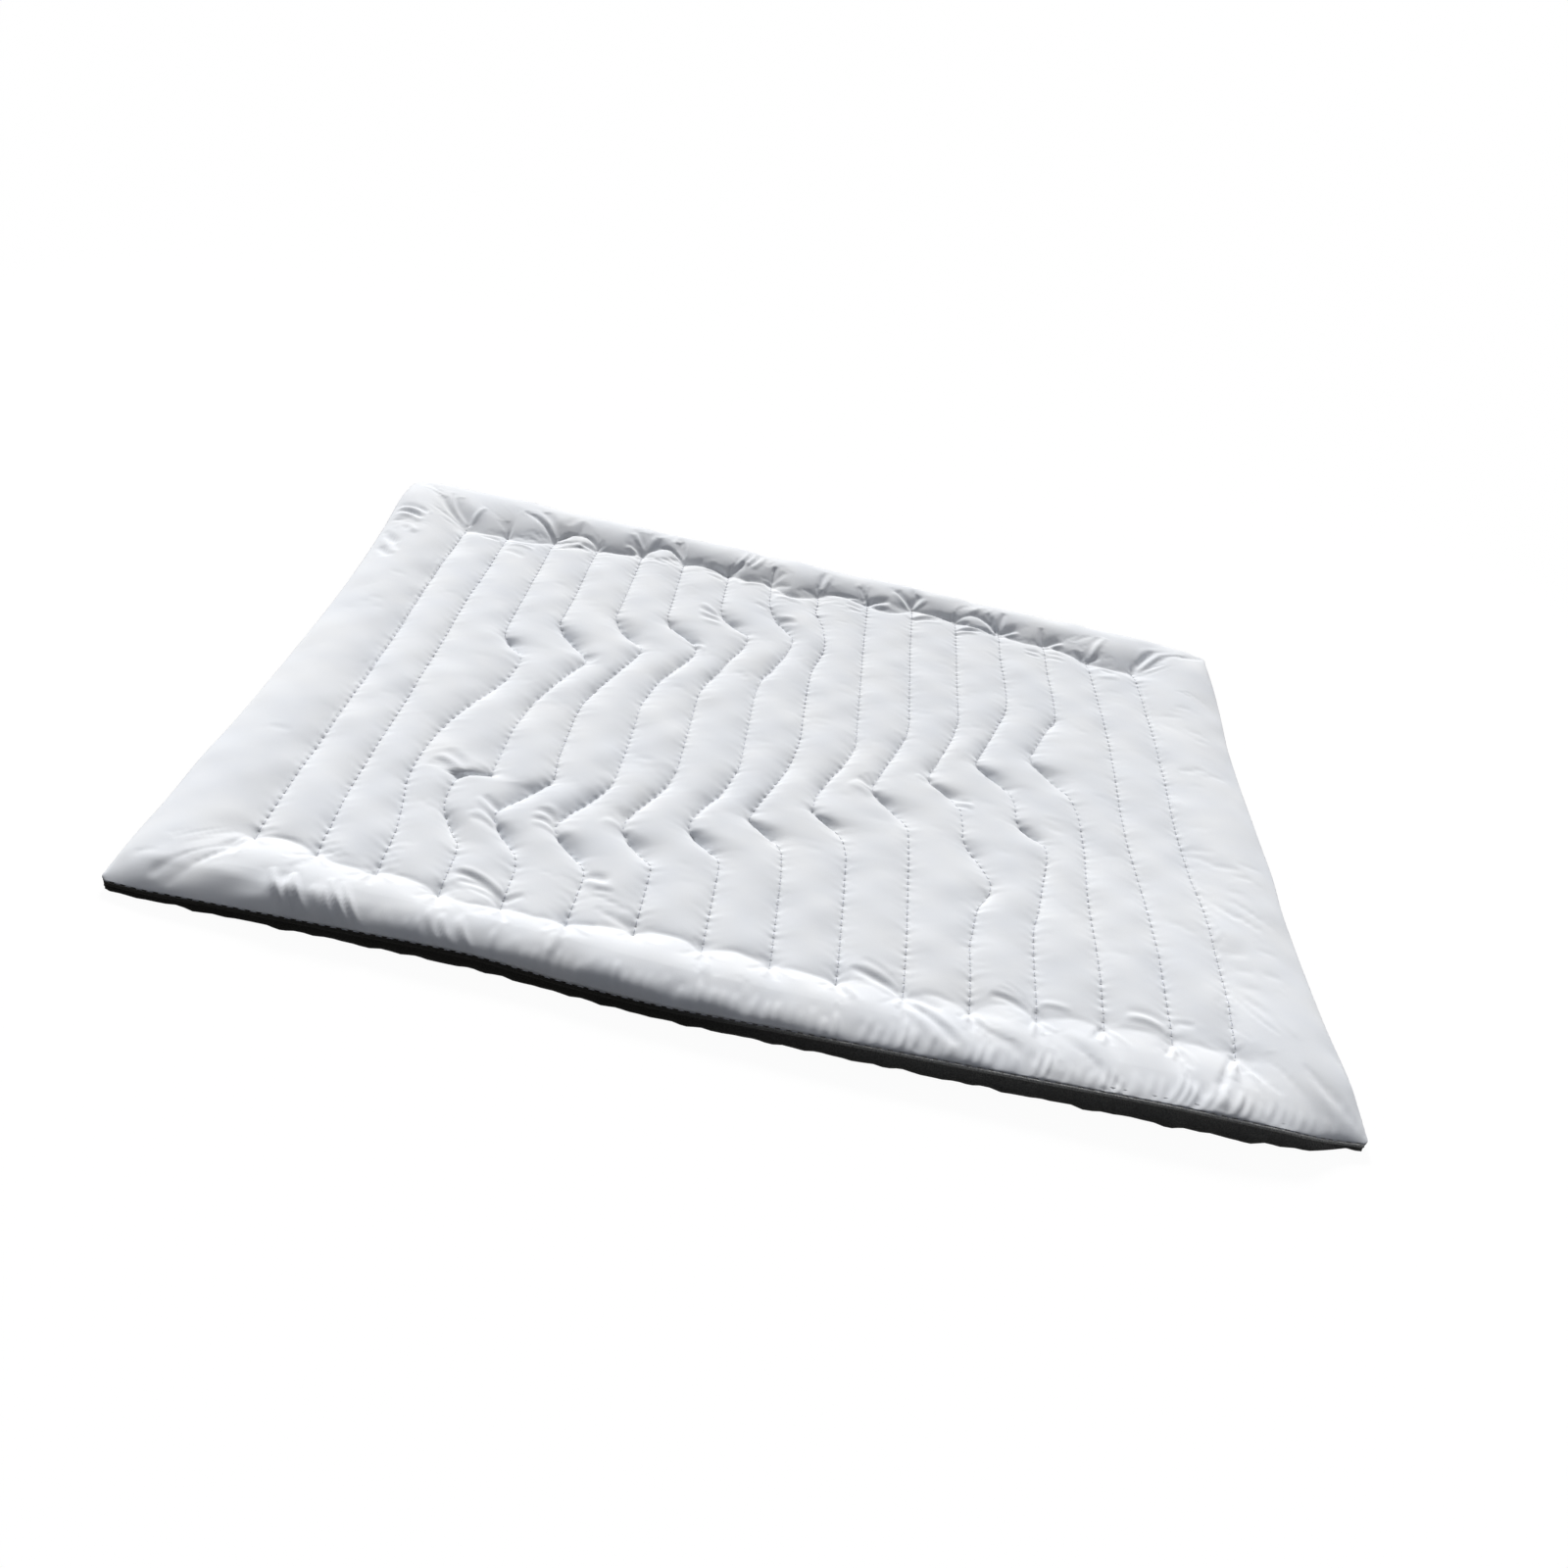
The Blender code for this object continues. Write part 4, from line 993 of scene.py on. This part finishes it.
def pale_thread():
    """Twisted thread, a little greyer than the cloth: fine bands run slantwise round it."""
    made, tree, shader = new_surface("pale_thread")
    place = object_place(tree)
    bands = add_node(tree, "ShaderNodeTexWave", (place, *TWIST), bands_direction="DIAGONAL").node.outputs[1]
    dark, light = THREAD_SHADES
    colour = blended(tree, bands, (*dark, 1), (*light, 1))
    finish_surface(tree, shader, colour, bands, THREAD_RELIEF, 1.0, roughness=0.6)
    return made


def charcoal_suede():
    """Near-black suede with a short, uneven nap. The UV map says where it carries a grey painted highlight."""
    made, tree, shader = new_surface("charcoal_suede")
    place = object_place(tree)
    shade = mottled(tree, place, SUEDE_CLOUDS, SUEDE_SHADES)
    painted_highlight = mottled(tree, place, HIGHLIGHT_CLOUDS, HIGHLIGHT_SHADES)
    highlight_share = add_node(tree, "ShaderNodeSeparateXYZ", (add_node(tree, "ShaderNodeUVMap", uv_map="highlight_share"),))
    # Painted highlight: the suede turns grey where the UV map's share is high
    colour = blended(tree, highlight_share, shade, painted_highlight)
    relief = add_node(tree, "ShaderNodeTexNoise", (place, None, *SUEDE_NAP))
    finish_surface(tree, shader, colour, relief, SUEDE_RELIEF, 1.0, roughness=0.9, specular=0.15)
    return made


def refined(z):
    """The net with a row added halfway between neighbours, by the four-point cubic rule."""
    padded = np.concatenate([2 * z[:1] - z[1:2], z, 2 * z[-1:] - z[-2:-1]])
    between = (9 * (padded[1:-2] + padded[2:-1]) - padded[:-3] - padded[3:]) / 16
    full = np.empty((2 * len(z) - 1,) + z.shape[1:])
    full[::2] = z
    full[1::2] = between
    return full


def add_group(cloth, name, weights):
    """A vertex group with one weight per vertex, in sixteen steps."""
    group = cloth.vertex_groups.new(name=name)
    steps = np.round(np.ravel(weights) * 16).astype(int)
    for step in range(1, 17):
        group.add(np.flatnonzero(steps == step).tolist(), step / 16, "REPLACE")


def relaxed(points, held, loose):
    """The cloth let go between its seams, as a cloth simulation from the given points in millimetres.

    Air pressure stands for the wadding. held is 1 where a seam holds the cloth, and loose says where the cloth
    was cut longer than its seam, so that it buckles into puckers.
    """
    rows, columns = points.shape[:2]
    cloth = add_mesh("cloth", points.reshape(-1, 3) * MM, [quads(rows, columns)])
    add_group(cloth, "held", held)
    add_group(cloth, "loose", loose)
    modifier = cloth.modifiers.new("cloth", "CLOTH")
    settings = modifier.settings
    settings.quality = SIM_QUALITY
    settings.mass = SIM_MASS
    settings.tension_stiffness = SIM_TENSION
    settings.compression_stiffness = SIM_TENSION
    settings.shear_stiffness = SIM_SHEAR
    settings.bending_stiffness = SIM_BENDING
    settings.vertex_group_mass = "held"
    settings.use_pressure = True
    settings.uniform_pressure_force = SIM_PRESSURE
    settings.vertex_group_shrink = "loose"
    settings.shrink_max = -LOOSE_SHARE
    settings.effector_weights.gravity = 0
    modifier.point_cache.frame_end = SIM_FRAMES
    for step in range(1, SIM_FRAMES + 1):
        bpy.context.scene.frame_set(step)
    shown = cloth.evaluated_get(bpy.context.evaluated_depsgraph_get()).data
    moved = np.empty(rows * columns * 3, np.float32)
    shown.vertices.foreach_get("co", moved)
    bpy.data.objects.remove(cloth, do_unlink=True)
    bpy.context.scene.frame_set(1)
    shift = moved.reshape(points.shape) / MM - points
    far = np.linalg.norm(shift, axis=-1, keepdims=True)
    return points + shift * np.minimum(1, MOST_SHIFT / np.maximum(far, MM))


def net_rings(rows, columns):
    """How many steps each point of a net lies in from its outer ring."""
    row, column = np.arange(rows)[:, None], np.arange(columns)[None, :]
    return np.minimum(np.minimum(row, rows - 1 - row), np.minimum(column, columns - 1 - column))


def finish_layer(made, node, cloth):
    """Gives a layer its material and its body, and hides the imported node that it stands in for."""
    made.data.materials.append(cloth)
    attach(made, ROOT)
    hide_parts(node)


def relaxed_top(x, y, z, channel):
    """The top after the simulation of every second row and column, held at the edge seam and on the lines."""
    half = (slice(None, None, 2), slice(None, None, 2))
    points = np.stack([x, y, z], axis=-1)
    nearest = np.clip(np.round(channel[half]), 0, LINE_COUNT - 1).astype(int)
    on_line = np.abs(channel[half] - nearest) < ON_LINE
    on_line &= (y[half] >= FRONT_ENDS[nearest]) & (y[half] <= BACK_ENDS[nearest])
    held = on_line | (net_rings(*on_line.shape) == 0)
    _, _, front, back = seam_distances(x[half], y[half])
    gathered = np.where(front < back, smooth((x[half] - GATHER_START) / GATHER_START), 1)
    near_seam = np.exp(-np.minimum(front, back) / LOOSE_REACH)
    loose = (1 - LOOSE_LEAST) * gathered * near_seam + LOOSE_LEAST
    shift = relaxed(points[half], held, loose) - points[half]
    shift = refined(refined(shift).swapaxes(0, 1)).swapaxes(0, 1)
    moved = points + shift
    return moved[..., 0], moved[..., 1], moved[..., 2]


def drawn_in(x, y, inset):
    """The plan with every point that lies nearer to a seam than inset moved in to that distance."""
    left, right, front, back = (np.clip(inset - d, 0, inset) for d in seam_distances(x, y))
    return x + left - right, y + front - back


def build_top(x, y, z):
    """The cooling cover: a fine outer skin, and a coarse inner skin that lies below every fold of it."""
    under = (lowest_near(z, COARSE) - COVER_CLOTH)[EVERY]
    on_seam = net_rings(*under.shape) == 0
    under = np.where(on_seam, z[EVERY] + LAYER_GAP / 2, under)
    inner = placed(*drawn_in(x[EVERY], y[EVERY], HEM_FOLD), under)
    cover = shell("cooling_cover_cloth", placed(x, y, z + LAYER_GAP / 2), inner, False)
    away, stitch = stitch_coordinates(x, y)
    plain = np.full(under.size, STITCH_REACH)
    away, stitch = np.concatenate([away.ravel(), plain]), np.concatenate([stitch.ravel(), plain])
    add_uv(cover, "stitching", away / STITCH_REACH, stitch)
    finish_layer(cover, "cooling_cover", cooling_cloth())


def wall_profile(seam):
    """The underside's wall ring by ring: distances in from the seam, and heights on one more axis than seam."""
    lip_in, lip_down = np.array(LIP, float).T
    wall_in, wall_share = np.array(WALL, float).T
    floor_in = np.array([*FLOOR_RINGS, EDGE_ROLL])
    lip = seam[..., None] - lip_down
    wall = (seam - lip_down[-1])[..., None] * wall_share
    heights = np.concatenate([lip, wall, np.zeros(seam.shape + floor_in.shape)], axis=-1)
    return np.concatenate([lip_in, wall_in, floor_in]), heights


def ring_net(x, y, inset, base):
    """The plan with its outer rings moved from base to inset, both distances in from the seam."""
    rows, columns = x.shape
    rings = np.minimum(net_rings(rows, columns), EDGE_STEPS)
    slip = (np.array(inset) - base)[rings]
    wall_end = base[len(LIP) + len(WALL) - 1]
    fade = 1 - smooth((base - wall_end) / (base[-1] - wall_end))
    columns_fade = np.concatenate([fade, np.zeros(columns - 2 * len(fade)), -fade[::-1]])
    rows_fade = np.concatenate([fade, np.zeros(rows - 2 * len(fade)), -fade[::-1]])[:, None]
    return x + slip * columns_fade, y + slip * rows_fade, rings


def wall_waves(x):
    """How far the underside's wall bulges more or less than usual: a sum of seeded sines along the edge."""
    chance = np.random.default_rng(13)
    waves, phases = chance.uniform(*WALL_WAVES, WALL_WAVE_COUNT), chance.uniform(0, 1, WALL_WAVE_COUNT)
    return WALL_WAVE * sum(np.sin(2 * np.pi * (x / wave + phase)) for wave, phase in zip(waves, phases))


def build_underside():
    """The underside cover: a turned lip at the seam, a bulging wall, and a bottom lifted at the lines."""
    inset, _ = wall_profile(np.zeros(()))
    base = np.maximum.accumulate(np.maximum(inset, LEAST_RING * np.arange(len(inset))))
    x, y, channel = net_plan(base, UNDERSIDE_STEPS)
    seam = seam_height(x, y)
    moved_x, moved_y, rings = ring_net(x, y, inset, base)
    _, heights = wall_profile(seam)
    wall = np.take_along_axis(heights, rings[..., None], axis=-1)[..., 0]
    dip = line_dip(x, y, channel)
    lifted = UNDERSIDE_LIFT * np.clip(LIFT_SHARPER * dip - (LIFT_SHARPER - 1), 0, 1)
    z = np.where(rings < EDGE_STEPS, wall, lifted)
    moved_x = np.where(rings < SIDE_RINGS, x + SIDE_BULGE * (moved_x - x), moved_x)
    wave_share = np.interp(rings, WALL_RINGS, (0, 1, 1, 0))
    moved_y = moved_y + wall_waves(x) * np.where(y > DEPTH / 2, 1, -1) * wave_share
    outer = placed(moved_x, moved_y, z - LAYER_GAP / 2 * (rings == 0))

    inner_inset = np.array([HEM_FOLD, HEM_FOLD + INNER_STEP, HEM_FOLD + 2 * INNER_STEP, EDGE_ROLL])
    inner_inset = np.interp(np.arange(EDGE_STEPS + 1), COARSE * np.arange(4), inner_inset)
    inner_x, inner_y, _ = ring_net(x, y, inner_inset, base)
    upper, lower = INNER_WALL
    inside = np.choose(rings[EVERY] // COARSE, [
        seam[EVERY] - LAYER_GAP / 2,
        upper * seam[EVERY],
        lower * seam[EVERY] + UNDERSIDE_CLOTH,
        (-lowest_near(-z, COARSE) + UNDERSIDE_CLOTH)[EVERY],
    ])
    cover = shell("underside_suede", outer, placed(inner_x[EVERY], inner_y[EVERY], inside), True)
    # Painted highlight: grey on the lip and the upper wall, growing to the right and fading towards the back
    painted_highlight = np.interp(rings, *zip(*LIP_HIGHLIGHT))
    painted_highlight = painted_highlight * smooth((x - HIGHLIGHT_LEFT[0]) / HIGHLIGHT_LEFT[1]) * smooth((HIGHLIGHT_BACK[0] - y) / HIGHLIGHT_BACK[1])
    painted_highlight = np.concatenate([painted_highlight.ravel(), np.zeros(inside.size)])
    add_uv(cover, "highlight_share", painted_highlight, painted_highlight)
    finish_layer(cover, "underside_cover", charcoal_suede())
    return x, y, z


def build_wadding(x, y, top, seam, under):
    """The wadding: the space between the two covers, thin along the quilting lines and at its edge."""
    low = lowest_near(top, COARSE)[EVERY] - COVER_CLOTH - LAYER_GAP
    high = under[EVERY] + UNDERSIDE_CLOTH + LAYER_GAP
    x, y, seam = x[EVERY], y[EVERY], seam[EVERY]
    ring_number = net_rings(*x.shape)
    edge = ring_number == 0
    upper = np.where(edge, seam + WADDING_EDGE, low)
    lower = np.where(edge, seam - WADDING_EDGE, np.where(ring_number == 1, WADDING_RISE * seam + high, high))
    x, y = drawn_in(x, y, WADDING_INSET)
    points = np.stack([placed(x, y, upper), placed(x, y, lower)])
    rows, columns = x.shape
    start = rows * columns
    first, second = ring(rows, columns), ring(rows, columns, start)
    edge_quads = np.stack([second, np.roll(second, -1), np.roll(first, -1), first], axis=1)
    below = quads(rows, columns, start)[:, ::-1]
    made = add_mesh("wadding_sheet", points.reshape(-1, 3), [quads(rows, columns), below, edge_quads])
    finish_layer(made, "wadding", white_wadding())


def stitches(name, path, normal, node, thread):
    """A run of stitches along a path on the cloth.

    Each is a tube of six sides round a line that rises out of the cloth, lies on it and dips back into it:
    its height follows a parabola to a low power, and its radius a fourth power that is flatter in the middle.
    """
    length = np.concatenate([[0], np.cumsum(np.linalg.norm(np.diff(path, axis=0), axis=1))])
    count = int(length[-1] / STITCH_PITCH)
    middles = (np.arange(count) + 0.5) * length[-1] / count
    t = np.linspace(-1, 1, STITCH_RINGS)
    at = (middles[:, None] + t * STITCH_LENGTH / 2).ravel()
    centre = np.stack([np.interp(at, length, path[:, axis]) for axis in range(3)], axis=1)
    along = np.stack([np.interp(at + 1, length, path[:, axis]) - np.interp(at - 1, length, path[:, axis])
                      for axis in range(3)], axis=1)
    along /= np.linalg.norm(along, axis=1, keepdims=True)
    up = np.array([0.0, 0.0, normal])
    side = np.cross(along, up)
    side /= np.linalg.norm(side, axis=1, keepdims=True)
    arch, power, dip = STITCH_ARCH
    rise = np.tile((1 - t ** 2) ** power * arch - dip, count)[:, None] * THREAD_RADIUS
    ends, more = STITCH_TAPER
    radius = np.tile(THREAD_RADIUS * (ends + more * (1 - t ** 4)), count)[:, None, None]
    angle = 2 * np.pi * np.arange(STITCH_SIDES) / STITCH_SIDES
    centre = centre + rise * up
    circle = np.cos(angle)[:, None] * side[:, None, :] + np.sin(angle)[:, None] * up
    points = (centre[:, None, :] + radius * circle).reshape(-1, 3)

    index = np.arange(count * STITCH_RINGS * STITCH_SIDES).reshape(count, STITCH_RINGS, STITCH_SIDES)
    turned = np.roll(index, -1, axis=2)
    walls = np.stack([index[:, :-1], turned[:, :-1], turned[:, 1:], index[:, 1:]], axis=-1).reshape(-1, 4)
    caps = np.concatenate([index[:, 0, ::-1], index[:, -1]])
    if normal < 0:
        walls, caps = walls[:, ::-1], caps[:, ::-1]
    made = add_mesh(name, (points + CORNER) * MM, [walls, caps])
    made.data.materials.append(thread)
    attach(made, ROOT)
    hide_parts(node)


def build_stitches(x, y, z, steps, kind, normal, thread):
    """The stitches of every quilting line on one side of the mat, from the net's column on that line."""
    left_steps, channel_steps = steps[:2]
    for k in range(LINE_COUNT):
        column = EDGE_STEPS + left_steps + channel_steps * k
        rows = (y[:, column] >= FRONT_ENDS[k]) & (y[:, column] <= BACK_ENDS[k])
        path = np.stack([x[rows, column], y[rows, column], z[rows, column]], axis=1)
        name = f"{kind}_stitches_{k + 1:02d}"
        stitches(name, path, normal, f"{kind}_thread_{k + 1:02d}", thread)


def build_edge_stitches(x, y, z, thread):
    """The stitches that close the edge seam, all the way round just above the lip."""
    edge = ring(*x.shape)
    path_x, path_y = round_corners(x, y)
    path = np.stack([path_x.ravel()[edge], path_y.ravel()[edge], z.ravel()[edge] - LAYER_GAP], axis=1)
    stitches("edge_seam_stitches", np.concatenate([path, path[:1]]), 1.0, "edge_seam_thread", thread)


# The camera's place in millimetres, its angles in degrees and its lens.
CAMERA_PLACE = (-40.593, -816.692, 531.954)
CAMERA_AZIMUTH = 3.0941
CAMERA_ELEVATION = 34.2843
CAMERA_ROLL = 14.0195
CAMERA_LENS = 31.931


def add_camera():
    """The camera at the photograph's angle: it looks along +Y, turned by azimuth, tipped down and rolled."""
    data = bpy.data.cameras.new("camera")
    data.lens = CAMERA_LENS
    data.clip_start = 0.01
    camera = bpy.data.objects.new("camera", data)
    bpy.context.scene.collection.objects.link(camera)
    turn = (
        Matrix.Rotation(-np.radians(CAMERA_AZIMUTH), 4, "Z")
        @ Matrix.Rotation(np.radians(90 - CAMERA_ELEVATION), 4, "X")
        @ Matrix.Rotation(np.radians(CAMERA_ROLL), 4, "Z")
    )
    camera.matrix_world = Matrix.Translation(Vector(CAMERA_PLACE) * MM) @ turn
    bpy.context.scene.camera = camera


# The suns: (name, direction it shines from, breadth in degrees, power, colour).
SUNS = (
    ("window", (-0.4, 1.9, 1.25), 12, 3.75, (1, 0.99, 0.97)),
    ("ceiling", (-0.1, 0.8, 1.3), 90, 0.4, (0.86, 0.9, 1)),
)
# The white panels at the sides: (name, place in metres, size, power).
PANELS = (
    ("left_panel", (-0.8, 0.05, 0.28), (0.3, 1.0), 1.1),
    ("right_panel", (0.8, 0.05, 0.28), (0.3, 1.0), 0.8),
)
FLOOR_HALF = 6.0  # half its width in metres
FLOOR_DROP = 0.0002  # how far it lies below the mat
FLOOR_GREY = 0.25
FLOOR_GLOW = 1.2
GLOW_SHARE = 0.8
SURROUND_COLOUR = (0.82, 0.87, 1, 1)
SURROUND_LIGHT = 0.06


def add_light(name, kind, place, power, up):
    """A light turned so that it shines from the direction of place."""
    light = bpy.data.objects.new(name, bpy.data.lights.new(name, kind))
    bpy.context.scene.collection.objects.link(light)
    light.data.energy = power
    light.rotation_euler = (-Vector(place)).to_track_quat("-Z", up).to_euler()
    return light


def add_sun(name, place, spread, power, colour):
    """A soft light over the whole mat, as broad as spread."""
    light = add_light(name, "SUN", place, power, "Y")
    light.data.angle = np.radians(spread)
    light.data.color = colour


def add_panel(name, place, size, power):
    """A white panel at one side that lights the near half of the mat most."""
    light = add_light(name, "AREA", place, power, "Z")
    light.location = place
    light.data.shape = "RECTANGLE"
    light.data.size, light.data.size_y = size


def seen(tree):
    """1 for camera, glossy and transmission rays."""
    rays = tree.nodes.new("ShaderNodeLightPath").outputs
    total = rays["Is Camera Ray"]
    for ray in ("Is Glossy Ray", "Is Transmission Ray"):
        total = math_of(tree, "MAXIMUM", total, rays[ray])
    return total


def add_stage():
    """A plain pale floor under a white surround. The camera sees both nearly white, with a soft shadow."""
    square = np.array([(-1, -1, 0), (1, -1, 0), (1, 1, 0), (-1, 1, 0)], float)
    floor = add_mesh("floor", FLOOR_HALF * square, [np.array([[0, 1, 2, 3]])])
    floor.location.z = -FLOOR_DROP
    made, tree, shader = new_surface("floor")
    shader.inputs["Base Color"].default_value = (FLOOR_GREY, FLOOR_GREY, FLOOR_GREY, 1)
    shader.inputs["Roughness"].default_value = 1.0
    shader.inputs["Specular IOR Level"].default_value = 0.0
    glow = add_node(tree, "ShaderNodeEmission", (None, FLOOR_GLOW))
    share = math_of(tree, "MULTIPLY", seen(tree), GLOW_SHARE)
    mix = add_node(tree, "ShaderNodeMixShader", (share, shader.outputs[0], glow))
    feed(tree, tree.nodes["Material Output"].inputs[0], mix)
    floor.data.materials.append(made)

    world = bpy.data.worlds.new("surround")
    bpy.context.scene.world = world
    world.use_nodes = True
    tree = world.node_tree
    base = tree.nodes["Background"]
    base.inputs[0].default_value = SURROUND_COLOUR
    base.inputs[1].default_value = SURROUND_LIGHT
    white = add_node(tree, "ShaderNodeBackground", ((1, 1, 1, 1),))
    mix = add_node(tree, "ShaderNodeMixShader", (seen(tree), base.outputs[0], white))
    feed(tree, tree.nodes["World Output"].inputs[0], mix)


def main():
    """Builds the camera, the lights, the stage, every layer and every thread."""
    for old in [o for o in bpy.data.objects if o.type in ("LIGHT", "CAMERA") or o.name == "Cube"]:
        bpy.data.objects.remove(old, do_unlink=True)
    add_camera()
    for row in SUNS:
        add_sun(*row)
    for row in PANELS:
        add_panel(*row)
    add_stage()
    x, y, channel = net_plan(roll_steps(), TOP_STEPS)
    near_seam = np.minimum(rolled_edge(x, y), 1)
    z = top_heights(x, y, channel) + (folds(x, y) + line_puckers(x, y) + drape(x, y)) * near_seam
    x, y, z = relaxed_top(x, y, z, channel)
    build_top(x, y, z)
    under_x, under_y, under_z = build_underside()
    under = UNDERSIDE_LIFT * line_dip(x, y, channel)
    build_wadding(x, y, z, seam_height(x, y), under)
    thread = pale_thread()
    build_stitches(x, y, z, TOP_STEPS, "needle", 1.0, thread)
    build_stitches(under_x, under_y, under_z, UNDERSIDE_STEPS, "bobbin", -1.0, thread)
    build_edge_stitches(x, y, z, thread)
    bpy.context.scene.view_settings.view_transform = "Standard"


main()
